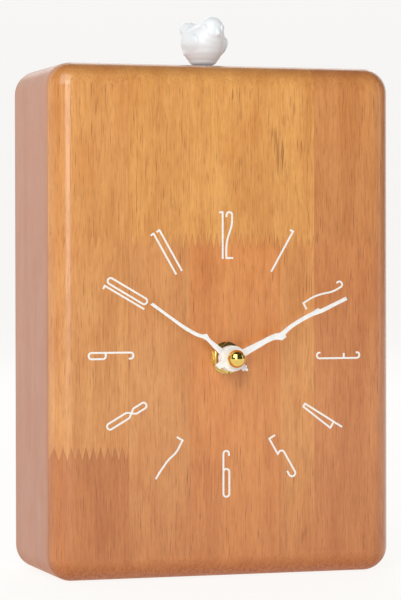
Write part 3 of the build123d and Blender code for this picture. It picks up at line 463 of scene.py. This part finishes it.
def speckled(name, colour, roughness=0.5, metallic=0.0, grain=0.0, grain_size=0.4, coat=0.0, tone=0.07):
    """A moulded, painted or metal surface with a fine grain and slight colour variation."""
    s = Shader(name)
    speckle = s.noise(s.place(), scale=1 / grain_size, detail=3)
    cloud = s.noise(s.place(), scale=0.12, detail=2)
    dark = [c * (1 - tone) for c in colour[:3]] + [1]
    light_spots = s.math("MULTIPLY", s.span(speckle, 0.35, 0.65), s.span(cloud, 0.3, 0.6, 0.5, 1.0))
    tinted = s.mix(light_spots, dark, colour)
    s.surface(Base_Color=tinted, Metallic=metallic, Coat_Weight=coat, Coat_Roughness=0.08)
    s.surface(Roughness=s.span(cloud, 0.3, 0.7, roughness * 0.88, min(1.0, roughness * 1.12)))
    if grain:
        s.relief(speckle, grain, 0.6)
    return s.material


def fibreboard():
    """Black-faced board with a matt, slightly fibrous skin."""
    s = Shader("back_board")
    fibres = s.noise(s.place((0.5, 1.2, 1.4)), detail=5, roughness=0.7)
    dust = s.span(s.noise(s.place(), scale=1.7, detail=1), 0.68, 0.76)
    colour = s.ramp(fibres, (0.3, linear(34, 31, 29)), (0.7, linear(54, 49, 45)))
    colour = s.mix(s.math("MULTIPLY", dust, 0.35), colour, linear(96, 88, 80))
    s.surface(Base_Color=colour, Roughness=s.span(fibres, 0.3, 0.7, 0.72, 0.88))
    s.relief(fibres, 0.00008, 0.7)
    return s.material


def white_ink():
    """Screen-printed ink: thick white with a fine orange-peel and a slightly dry edge."""
    s = Shader("white_ink")
    peel = s.noise(s.place(), scale=2.2, detail=3)
    colour = s.ramp(peel, (0.3, linear(236, 231, 222)), (0.65, linear(250, 247, 241)))
    s.surface(Base_Color=colour, Roughness=0.5)
    s.relief(peel, 0.00003, 0.5)
    return s.material


def white_enamel():
    """Satin white lacquer on sheet metal."""
    s = Shader("white_paint")
    peel = s.noise(s.place(), scale=1.3, detail=2)
    thin = s.span(s.noise(s.place(), scale=0.5, detail=4, roughness=0.7), 0.40, 0.62)
    colour = s.mix(thin, linear(240, 238, 233), linear(250, 249, 246))
    s.surface(Base_Color=colour, Roughness=0.36, Coat_Weight=0.25, Coat_Roughness=0.18)
    s.relief(peel, 0.00002, 0.35)
    return s.material


def turned_brass(name, roughness, marks, colour):
    """Brass turned on a lathe, with fine rings about the hands' axis."""
    s = Shader(name)
    x, _, z = s.axes(s.place(shift=(0.0, 0.0, -AXIS_Z / MM)))
    radius = s.math("SQRT", s.math("ADD", s.math("MULTIPLY", x, x), s.math("MULTIPLY", z, z)))
    rings = s.math("SINE", s.math("MULTIPLY", radius, 48.0))
    smudge = s.noise(s.place(), scale=0.5, detail=4)
    tint = s.ramp(smudge, (0.32, [c * 0.92 for c in colour[:3]] + [1]), (0.62, colour))
    s.surface(Base_Color=tint, Metallic=1.0)
    s.surface(Roughness=s.span(smudge, 0.3, 0.7, roughness * 0.8, roughness * 1.3))
    s.relief(rings, marks, 0.4)
    return s.material


def porcelain():
    """White glaze over a slightly uneven body, with a faint painted glow."""
    s = Shader("ceramic")
    body = s.noise(s.place(), scale=0.28, detail=3)
    specks = s.span(s.noise(s.place(), scale=3.5, detail=1), 0.75, 0.80)
    colour = s.ramp(body, (0.3, linear(219, 223, 225)), (0.7, linear(227, 231, 233)))
    colour = s.mix(s.math("MULTIPLY", specks, 0.12), colour, linear(196, 190, 180))
    s.surface(Base_Color=colour, Roughness=s.span(body, 0.3, 0.7, 0.38, 0.46))
    s.surface(Coat_Weight=0.25, Coat_Roughness=0.15)
    # painted light: a faint white glow that lifts the bird's shaded parts
    s.surface(Emission_Color=linear(246, 250, 252), Emission_Strength=0.17)
    s.relief(body, 0.00012, 0.35)
    return s.material


def brushed_steel(name, colour, roughness, stretch):
    """Rolled or drawn steel with fine marks along one direction."""
    s = Shader(name)
    marks = s.noise(s.place(stretch), detail=4, roughness=0.7)
    colour = s.mix(s.span(marks, 0.3, 0.7), [c * 0.82 for c in colour[:3]] + [1], colour)
    s.surface(Base_Color=colour, Metallic=1.0)
    s.surface(Roughness=s.span(marks, 0.3, 0.7, roughness * 0.8, roughness * 1.25))
    s.relief(marks, 0.00001, 0.4)
    return s.material


def wound_copper():
    """Fine enamelled wire wound about X."""
    wire_pitch = 0.16
    s = Shader("copper")
    x, _, _ = s.axes(s.place())
    turns = s.math("SINE", s.math("MULTIPLY", x, 2 * pi / wire_pitch))
    layer = s.noise(s.place((0.8, 0.2, 0.2)), detail=3)
    colour = s.mix(s.span(turns, -1, 0.6), linear(122, 52, 22), linear(208, 118, 66))
    colour = s.mix(s.span(layer, 0.35, 0.65, 0.0, 0.35), colour, linear(176, 84, 40))
    s.surface(Base_Color=colour, Metallic=0.9, Roughness=0.32)
    s.relief(turns, 0.00003, 0.8)
    return s.material


def solder_mask():
    """Green lacquer over copper tracks that run up and across the board."""
    s = Shader("circuit_green")
    x, _, z = s.axes(s.place())
    across = s.span(s.math("ABSOLUTE", s.math("SINE", s.math("MULTIPLY", x, 1.9))), 0.90, 0.95)
    up = s.span(s.math("ABSOLUTE", s.math("SINE", s.math("MULTIPLY", z, 1.3))), 0.93, 0.97)
    field = s.span(s.noise(s.place(), scale=0.16, detail=0), 0.46, 0.50)
    tracks_up = s.math("SUBTRACT", up, field, clamp=True)
    tracks = s.math("MAXIMUM", s.math("MULTIPLY", across, field), tracks_up)
    weave = s.noise(s.place((3.0, 3.0, 3.0)), detail=2)
    colour = s.mix(tracks, linear(16, 78, 44), linear(46, 122, 66))
    colour = s.mix(s.span(weave, 0.4, 0.7, 0.0, 0.2), colour, linear(10, 60, 34))
    s.surface(Base_Color=colour, Roughness=0.3, Coat_Weight=0.6, Coat_Roughness=0.1)
    s.relief(tracks, 0.00004, 0.8)
    return s.material


def cell_sleeve():
    """A plain two-tone sleeve shrunk onto a cell that lies along X."""
    s = Shader("cell_label")
    x, _, _ = s.axes(s.place())
    end = s.span(x, 13.6, 13.9)
    wrinkle = s.noise(s.place((0.3, 1.0, 1.0)), detail=3)
    colour = s.mix(end, linear(40, 44, 52), linear(184, 132, 62))
    rim = s.math("MAXIMUM", s.span(x, 24.2, 24.3), s.span(x, -24.9, -24.6, 1.0, 0.0))
    colour = s.mix(rim, colour, linear(186, 186, 184))
    s.surface(Base_Color=colour, Metallic=s.span(rim, 0, 1, 0.25, 1.0))
    s.surface(Roughness=s.span(wrinkle, 0.3, 0.7, 0.24, 0.36))
    s.relief(wrinkle, 0.00004, 0.4)
    return s.material


def pressed_paper():
    """Black paper cone with long fibres."""
    s = Shader("paper_cone")
    fibres = s.noise(s.place((1.2, 1.2, 1.2)), detail=5, roughness=0.75, distortion=1.2)
    colour = s.ramp(fibres, (0.3, linear(26, 26, 26)), (0.7, linear(58, 56, 54)))
    s.surface(Base_Color=colour, Roughness=0.92)
    s.relief(fibres, 0.0001, 0.8)
    return s.material


# the frame boards' tone, paler and pinker than the front: partly their own wood, partly a painted
# reflection of the pale surroundings
FRAME_TONE_AND_PAINTED_SHEEN = (193, 132, 99)
MATERIALS = {
    "wood_front": front_wood(),
    "wood_frame": frame_wood("wood_frame", "Z", FRAME_TONE_AND_PAINTED_SHEEN),
    "back_board": fibreboard(),
    "white_ink": white_ink(),
    "white_paint": white_enamel(),
    "brass": turned_brass("brass", 0.20, 0.0000004, linear(222, 190, 116)),
    "polished_brass": turned_brass("polished_brass", 0.07, 0.0000006, linear(240, 206, 112)),
    "ceramic": porcelain(),
    "black_plastic": speckled("black_plastic", linear(34, 34, 35), 0.5, grain=0.00004),
    "dark_plastic": speckled("dark_plastic", linear(34, 34, 36), 0.6, grain=0.00003),
    "grey_plastic": speckled("grey_plastic", linear(150, 152, 154), 0.45, grain=0.00002),
    "gear_plastic": speckled("gear_plastic", linear(236, 234, 224), 0.35, grain=0.00001),
    "black_rubber": speckled("black_rubber", linear(28, 28, 28), 0.8, grain=0.00004, grain_size=0.25),
    "steel": brushed_steel("steel", linear(196, 196, 194), 0.28, (0.3, 4.0, 4.0)),
    "zinc_steel": brushed_steel("zinc_steel", linear(204, 204, 196), 0.34, (2.0, 2.0, 2.0)),
    "magnet": speckled("magnet", linear(66, 66, 70), 0.6, metallic=0.3, grain=0.00004, grain_size=0.3),
    "copper": wound_copper(),
    "circuit_green": solder_mask(),
    "cell_label": cell_sleeve(),
    "paper_cone": pressed_paper(),
}
for part in frame["record"]["subparts"]:
    give(part["node"], MATERIALS[part["material_slot"]])
level_wood = frame_wood("wood_frame_level", "X", FRAME_TONE_AND_PAINTED_SHEEN)
give("top_board", level_wood)
give("bottom_board", level_wood)


# ======================================================================================
# Hub and hands
# ======================================================================================

# Outlines of the blades: across to the right and along towards the tip, for a hand at 12.
HOUR_BLADE = (
    (-2.0, 2.0), (-1.2, 5.7), (-0.5, 9.2), (0.1, 12.0), (0.0, 14.0), (-0.7, 16.3), (-1.1, 19.6),
    (-1.3, 22.0), (-1.1, 29.0), (-0.9, 39.0), (0.3, 38.3), (0.1, 33.0), (0.0, 27.7), (0.2, 20.5),
    (0.8, 16.2), (1.3, 14.9), (2.4, 13.7), (1.5, 11.4), (1.3, 9.1), (1.1, 5.2), (1.3, 2.0),
)
HOUR_TAIL = (
    (1.2, -2.0), (0.9, -5.6), (1.2, -6.8), (0.4, -7.2), (0.2, -8.1), (-0.7, -8.1), (-0.8, -7.0),
    (-1.6, -6.8), (-1.1, -5.4), (-1.2, -2.0),
)
MINUTE_BLADE = (
    (-1.6, 2.0), (-1.5, 5.2), (-1.2, 12.9), (-1.0, 19.0), (-0.4, 21.4), (-0.9, 24.6), (-1.3, 27.5),
    (-1.6, 33.0), (-1.6, 37.8), (-1.8, 39.5), (-0.9, 40.4), (-0.7, 46.0), (-0.5, 52.0), (0.9, 52.0),
    (0.7, 46.0), (0.6, 40.2), (0.1, 36.9), (0.0, 31.0), (0.5, 26.0), (1.3, 23.1), (2.4, 22.9),
    (2.7, 20.8), (1.3, 18.6), (0.9, 15.6), (1.0, 12.3), (1.3, 5.2), (1.5, 2.0),
)
MINUTE_TAIL = ((1.2, -2.0), (1.1, -5.4), (1.0, -6.9), (-1.0, -7.8), (-1.4, -6.5), (-1.5, -2.0))
SHARP_TURN = 38.0                        # an outline that turns by more has a corner there


def blade(outline, front, angle):
    """A thin flat twig with softly rounded edges, turned clockwise from 12."""
    round_edge = 0.14
    curve = bpy.data.curves.new("blade", "CURVE")
    curve.dimensions = "2D"
    curve.fill_mode = "BOTH"
    curve.resolution_u = 4
    curve.extrude = (BLADE_T / 2 - round_edge) * MM
    curve.bevel_depth = round_edge * MM
    curve.bevel_resolution = 2
    curve.offset = -round_edge * MM
    spline = curve.splines.new("BEZIER")
    spline.bezier_points.add(len(outline) - 1)
    for index, (point, (x, y)) in enumerate(zip(spline.bezier_points, outline)):
        before, after = outline[index - 1], outline[(index + 1) % len(outline)]
        way_in = Vector((x - before[0], y - before[1]))
        way_out = Vector((after[0] - x, after[1] - y))
        sharp = way_in.angle(way_out) > radians(SHARP_TURN)
        point.co = (x * MM, y * MM, 0)
        point.handle_left_type = point.handle_right_type = "VECTOR" if sharp else "AUTO"
    spline.use_cyclic_u = True
    holder = bpy.data.objects.new("blade", curve)
    bpy.context.scene.collection.objects.link(holder)
    bpy.context.view_layer.update()
    graph = bpy.context.evaluated_depsgraph_get()
    mesh = bpy.data.meshes.new_from_object(holder.evaluated_get(graph))
    bpy.data.objects.remove(holder)
    middle = Vector((0, FACE_Y + (front + BLADE_T / 2) * MM, AXIS_Z))
    turn = Matrix.Rotation(radians(angle), 4, "Y")
    upright = Matrix.Rotation(radians(90), 4, "X")
    mesh.transform(Matrix.Translation(middle) @ turn @ upright)
    work = bmesh.new()
    work.from_mesh(mesh)
    bmesh.ops.remove_doubles(work, verts=work.verts, dist=0.00001)
    bmesh.ops.recalc_face_normals(work, faces=work.faces)
    work.to_mesh(mesh)
    work.free()
    return mesh


def boss(front, rear, bore):
    """The round collar that a hand's blade is riveted to."""
    edge = 0.3
    chamfer = 0.5
    return lathe([
        (bore, front), (BOSS_R - 1.0, front), *rounded(BOSS_R - edge, front + edge, edge, -90, 0),
        (BOSS_R, rear - chamfer), (BOSS_R - chamfer, rear), (bore, rear),
    ])


def twig_hand(name, body, span, bore, angle, outlines):
    """A hand's collar with its blade and tail, drilled through."""
    front, rear = span
    mesh = boss(front, rear, bore)
    for outline in outlines:
        mesh = combined(mesh, blade(outline, front, angle), "UNION")
    drill = lathe([(0, front - 1), (bore, front - 1), (bore, rear + 1), (0, rear + 1)])
    mesh = combined(mesh, drill, "DIFFERENCE")
    shade(mesh)
    add_piece(name, mesh, body, "white_paint", [name.replace("enamelled_", "")])


twig_hand("enamelled_hour_hand", "hour_hand_group", HOUR_BOSS, PIPE_R, HOUR_HAND_ANGLE,
          (HOUR_BLADE, HOUR_TAIL))
twig_hand("enamelled_minute_hand", "minute_hand_group", MINUTE_BOSS, SPIGOT_R, MINUTE_HAND_ANGLE,
          (MINUTE_BLADE, MINUTE_TAIL))


def chamfered_nut():
    """Hexagon nut, its corners turned off in a shallow cone, front and rear."""
    corner_r = NUT_FLATS / 2 / cos(pi / 6)
    front, rear = NUT
    work = bmesh.new()
    ends = []
    for depth in (front, rear):
        ring = []
        for step in range(6):
            a = radians(90 + 60 * step)
            x = corner_r * MM * cos(a)
            z = AXIS_Z + corner_r * MM * sin(a)
            ring.append(work.verts.new((x, FACE_Y + depth * MM, z)))
        work.faces.new(ring)
        ends.append(ring)
    for step in range(6):
        after = (step + 1) % 6
        work.faces.new((ends[0][step], ends[0][after], ends[1][after], ends[1][step]))
    mesh = closed_mesh(work, "hexagon")
    land = NUT_FLATS / 2 - 0.1
    outer = corner_r + 0.3
    drop = (outer - land) * 0.55
    turned = lathe([
        (0, front), (land, front), (outer, front + drop), (outer, rear - drop), (land, rear), (0, rear),
    ])
    mesh = combined(mesh, turned, "INTERSECT")
    bore = BUSH_R + 0.02
    countersink = 1.3
    hole = lathe([
        (0, front - 1), (bore + countersink, front - 1), (bore, front + 0.3),
        (bore, rear + 1), (0, rear + 1),
    ])
    return combined(mesh, hole, "DIFFERENCE")


def washer():
    """Flat ring with rolled edges."""
    front, rear = WASHER
    edge = 0.14
    bore = BUSH_R + 0.03
    return lathe([
        (bore, front), *rounded(WASHER_R - edge, front + edge, edge, -90, 0),
        *rounded(WASHER_R - edge, rear - edge, edge, 0, 90), (bore, rear),
    ])


def threaded_tube():
    """The bushing that the nut runs on, with its thread as close-set ridges."""
    front = BUSH_FRONT
    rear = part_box("threaded_bushing")[1].y / MM - FACE_Y / MM
    bore = PIPE_R + 0.05
    crest = BUSH_R - 0.02
    root = BUSH_R - 0.32
    pitch = 0.75
    flange_r = 4.98
    flange_front = rear - 1.5
    profile = [(bore, front), (BUSH_R - 0.45, front)]
    depth = front + 0.3
    while depth < flange_front - pitch:
        profile += [(root, depth), (crest, depth + pitch / 2)]
        depth += pitch
    profile += [(crest, flange_front), (flange_r, flange_front), (flange_r, rear), (bore, rear)]
    return lathe(profile)


def cap_ball():
    """Polished ball with a short neck down to the minute hand."""
    neck_r = 2.2
    lip = 0.15
    neck_turn = 50                       # where the ball runs into the neck, from its equator
    ball = rounded(0, CAP_CENTRE, CAP_R, -90, neck_turn, steps=48)
    ball[0] = (0, CAP_CENTRE - CAP_R)
    rest = MINUTE_BOSS[0]
    return lathe(ball + [
        (neck_r, rest - 0.5), (neck_r + lip, rest - 0.35), (neck_r + lip, rest),
        (SPIGOT_R, rest), (SPIGOT_R, CAP_CENTRE), (0, CAP_CENTRE),
    ])


for label, make, group, finish_slot, node in (
    ("brass_hexagon_nut", chamfered_nut, "case", "brass", "hex_nut"),
    ("turned_brass_washer", washer, "case", "brass", "brass_washer"),
    ("cut_thread_bushing", threaded_tube, "case", "brass", "threaded_bushing"),
    ("polished_cap_ball", cap_ball, "minute_hand_group", "polished_brass", "cap_nut"),
):
    shape = make()
    shade(shape, 30.0)
    add_piece(label, shape, group, finish_slot, [node])


# ======================================================================================
# Button spring
# ======================================================================================

SPRING_PITCH = 1.6
SPRING_WIRE_R = 0.2


def wound_spring(low, high):
    """Round wire on an upright helix that fills the box between two corners, in metres."""
    middle = (low + high) / 2
    turn_r = (high.x - low.x) / 2 / MM - SPRING_WIRE_R
    height = (high.z - low.z) / MM - 2 * SPRING_WIRE_R
    steps_a_turn, around = 40, 10
    work = bmesh.new()
    rings = []
    for step in range(int(height / SPRING_PITCH * steps_a_turn) + 1):
        turn = step / steps_a_turn
        outward = Vector((cos(2 * pi * turn), sin(2 * pi * turn), 0))
        centre = outward * turn_r + Vector((0, 0, SPRING_WIRE_R + SPRING_PITCH * turn))
        ring = []
        for corner in range(around):
            a = 2 * pi * corner / around
            point = centre + (outward * cos(a) + Vector((0, 0, 1)) * sin(a)) * SPRING_WIRE_R
            ring.append(work.verts.new(point * MM + Vector((middle.x, middle.y, low.z))))
        rings.append(ring)
    for ring, following in zip(rings, rings[1:]):
        for i in range(around):
            j = (i + 1) % around
            work.faces.new((ring[i], ring[j], following[j], following[i]))
    work.faces.new(rings[0])
    work.faces.new(rings[-1])
    return closed_mesh(work, "spring")


SPRING_LO, SPRING_HI = (Vector(corner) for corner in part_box("button_spring"))
wire = wound_spring(SPRING_LO, SPRING_HI)
shade(wire)
spring = add_piece("wound_button_spring", wire, "bird_button", "steel", ["button_spring"])
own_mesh(spring)


# ======================================================================================
# Bird
# ======================================================================================

def facing(turn, tilt=0.0):
    """Unit vector to the front, turned towards +X and tilted up by degrees."""
    level = cos(radians(tilt))
    return Vector((level * sin(radians(turn)), -level * cos(radians(turn)), sin(radians(tilt))))


def from_middle(turn, distance, z):
    """A point z mm above the case, some way from the button's axis towards turn."""
    return facing(turn) * distance + Vector((0, 0, CASE_TOP / MM + z))


def egg(work, centre, turn, tilt, size, roll=0.0):
    """Adds an ellipsoid with radii size along its nose, its side and its top, in mm."""
    nose = facing(turn, tilt)
    side = facing(turn + 90)
    top = nose.cross(side) * -1
    spin = Matrix.Rotation(radians(roll), 3, nose)
    side, top = spin @ side, spin @ top
    basis = Matrix((
        (nose.x * size[0], side.x * size[1], top.x * size[2], centre.x),
        (nose.y * size[0], side.y * size[1], top.y * size[2], centre.y),
        (nose.z * size[0], side.z * size[1], top.z * size[2], centre.z),
        (0, 0, 0, 1),
    ))
    scale = Matrix.Scale(MM, 4)
    bmesh.ops.create_uvsphere(work, u_segments=40, v_segments=24, radius=1.0, matrix=scale @ basis)


def upright_disc(radius, low, high, turns=64):
    """A closed disc on the button's axis, radius in mm and heights in metres."""
    work = bmesh.new()
    rings = []
    for z in (low, high):
        ring = []
        for step in range(turns):
            a = 2 * pi * step / turns
            ring.append(work.verts.new((radius * MM * cos(a), radius * MM * sin(a), z)))
        work.faces.new(ring)
        rings.append(ring)
    for step in range(turns):
        after = (step + 1) % turns
        work.faces.new((rings[0][step], rings[0][after], rings[1][after], rings[1][step]))
    return closed_mesh(work, "disc")


# The body's lumps, from the round breast down to the small foot: height, radius, half height.
BODY_LUMPS = ((10.4, 9.0, 7.0), (8.0, 8.3, 5.6), (6.0, 7.3, 4.2), (4.4, 6.4, 2.6), (3.0, 5.6, 1.9))


def bird_mesh():
    """A plump porcelain bird, modelled as soft lumps that run into one another."""
    work = bmesh.new()
    for height, radius, half_height in BODY_LUMPS:
        egg(work, from_middle(BODY_TURN, 0.1, height), BODY_TURN, 0, (radius, radius * 0.98, half_height))
    egg(work, from_middle(BODY_TURN, 2.0, 11.6), BODY_TURN, 18, (8.0, 7.4, 6.4))
    egg(work, from_middle(BODY_TURN, -3.6, 13.0), BODY_TURN, -24, (6.4, 6.6, 4.6))
    # head, cheeks and beak
    head = from_middle(BODY_TURN, 5.6, 16.1)
    egg(work, head, HEAD_TURN, 10, (4.8, 4.7, 4.7))
    egg(work, head + facing(HEAD_TURN) * 0.8 + Vector((0, 0, -2.2)), HEAD_TURN, 0, (4.4, 4.8, 3.6))
    beak_turn = HEAD_TURN + 16
    egg(work, head + facing(beak_turn) * 4.2 + Vector((0, 0, -1.4)), beak_turn, -48, (2.5, 1.0, 1.1))
    # tail, carried high, in three soft lobes
    for spread in (-24, 0, 24):
        tip = from_middle(BODY_TURN, -6.0, 15.1) + facing(BODY_TURN + 180 + spread * 0.8, 20) * 1.7
        egg(work, tip, BODY_TURN + spread * 0.6, -26, (4.9, 3.2, 3.5))
    # wings, folded along the sides with a lifted lower tip
    for side, out in ((-1, 6.6), (1, 7.5)):
        wing = from_middle(BODY_TURN + side * 90, out, 9.2) + facing(BODY_TURN) * 0.9
        egg(work, wing, BODY_TURN + side * 8, 34, (5.4, 1.9, 3.8), roll=side * -10)
        egg(work, wing + facing(BODY_TURN + 180, -42) * 3.3 + facing(BODY_TURN + side * 90) * 0.4,
            BODY_TURN + side * 4, 42, (2.5, 1.1, 1.5), roll=side * -10)
    mesh = bpy.data.meshes.new("bird_lumps")
    work.to_mesh(mesh)
    work.free()
    mesh = applied(mesh, [
        ("REMESH", {"mode": "VOXEL", "voxel_size": 0.28 * MM}),
        ("SMOOTH", {"factor": 0.5, "iterations": 9}),
    ])
    # eyes, raised as a ring with a dot, after the smoothing
    eye_ring_r = 0.9
    beads = 16
    work = bmesh.new()
    for side in (-1, 1):
        eye_turn = HEAD_TURN + side * 50
        eye = head + facing(eye_turn, 2) * 4.72 + Vector((0, 0, -0.2))
        across = facing(eye_turn + 90)
        for step in range(beads):
            a = 2 * pi * step / beads
            bead = eye + across * eye_ring_r * cos(a) + Vector((0, 0, eye_ring_r * sin(a)))
            egg(work, bead, eye_turn, 0, (0.5, 0.28, 0.28))
        egg(work, eye, eye_turn, 0, (0.5, 0.34, 0.34))
    with_eyes = bpy.data.meshes.new("with_eyes")
    work.from_mesh(mesh)
    work.to_mesh(with_eyes)
    work.free()
    mesh = applied(with_eyes, [
        ("REMESH", {"mode": "VOXEL", "voxel_size": 0.22 * MM}),
        ("SMOOTH", {"factor": 0.5, "iterations": 2}),
    ])
    # the foot is cut flat where it sits on the button
    below_foot = upright_disc(12.9, BIRD_BASE - 6 * MM, BIRD_BASE)
    return combined(mesh, below_foot, "DIFFERENCE")


bird = bird_mesh()
shade(bird, 60.0)
add_piece("porcelain_bird", bird, "bird_button", "ceramic", ["bird"])


# ======================================================================================
# Stage, lights and camera
# ======================================================================================

def stage():
    """A pale floor, wide enough to be seen from every side, that curves up into a backdrop."""
    width, front, back, radius, top = 5.0, -5.5, 2.8, 0.6, 3.6
    curve_steps = 16
    profile = [(front, 0.0)]
    for step in range(curve_steps + 1):
        a = radians(90 * step / curve_steps)
        profile.append((back - radius + radius * sin(a), radius - radius * cos(a)))
    profile.append((back, top))
    mesh = bpy.data.meshes.new("floor")
    vertices = [(x, y, z) for y, z in profile for x in (-width, width)]
    faces = [(2 * i, 2 * i + 1, 2 * i + 3, 2 * i + 2) for i in range(len(profile) - 1)]
    mesh.from_pydata(vertices, [], faces)
    for polygon in mesh.polygons:
        polygon.use_smooth = True
    s = Shader("floor_paper")
    s.surface(Base_Color=(0.10, 0.10, 0.10, 1), Roughness=0.9)
    s.surface(Emission_Color=linear(250, 249, 247), Emission_Strength=0.915)
    mesh.materials.append(s.material)
    floor = bpy.data.objects.new("floor", mesh)
    bpy.context.scene.collection.objects.link(floor)


def softbox(name, place, aim, size, power):
    """A white rectangular light that faces aim, itself unseen."""
    light = bpy.data.lights.new(name, "AREA")
    light.shape = "RECTANGLE"
    light.size, light.size_y = size
    light.energy = power
    lamp = bpy.data.objects.new(name, light)
    lamp.location = place
    lamp.visible_camera = False
    lamp.rotation_euler = (Vector(aim) - Vector(place)).to_track_quat("-Z", "Y").to_euler()
    bpy.context.scene.collection.objects.link(lamp)


def lights():
    """Soft light from the front left, a little from each side and from behind, and a dim room."""
    middle = (0.0, 0.0, 0.11)
    softbox("key", (-0.78, -0.98, 1.10), middle, (1.25, 1.35), 14.2)
    softbox("front", (-0.60, -1.45, 0.55), middle, (0.55, 1.0), 7.0)
    softbox("left", (-1.5, 0.2, 0.4), middle, (0.9, 1.2), 2.1)
    softbox("right", (1.4, -0.5, 0.45), middle, (0.35, 1.2), 1.6)
    softbox("rear", (0.5, 1.7, 1.0), middle, (1.2, 0.9), 4.0)
    world = bpy.data.worlds.new("studio")
    world.use_nodes = True
    world.node_tree.nodes["Background"].inputs["Color"].default_value = (1, 1, 1, 1)
    world.node_tree.nodes["Background"].inputs["Strength"].default_value = 0.07
    bpy.context.scene.world = world


def camera():
    """The camera, turned by its yaw, its pitch and its roll."""
    yaw, pitch, roll = radians(CAMERA_YAW), radians(CAMERA_PITCH), radians(CAMERA_ROLL)
    ahead = Vector((sin(yaw) * cos(pitch), cos(yaw) * cos(pitch), -sin(pitch)))
    right = Vector((cos(yaw), -sin(yaw), 0))
    up = right.cross(ahead)
    turned_right = cos(roll) * right + sin(roll) * up
    turned_up = -sin(roll) * right + cos(roll) * up
    data = bpy.data.cameras.new("camera")
    data.lens = CAMERA_LENS
    data.clip_start = 0.01
    made = bpy.data.objects.new("camera", data)
    made.matrix_world = Matrix((
        (turned_right.x, turned_up.x, -ahead.x, CAMERA_AT.x),
        (turned_right.y, turned_up.y, -ahead.y, CAMERA_AT.y),
        (turned_right.z, turned_up.z, -ahead.z, CAMERA_AT.z),
        (0, 0, 0, 1),
    ))
    bpy.context.scene.collection.objects.link(made)
    bpy.context.scene.camera = made


stage()
lights()
camera()
bpy.context.scene.view_settings.view_transform = "Standard"
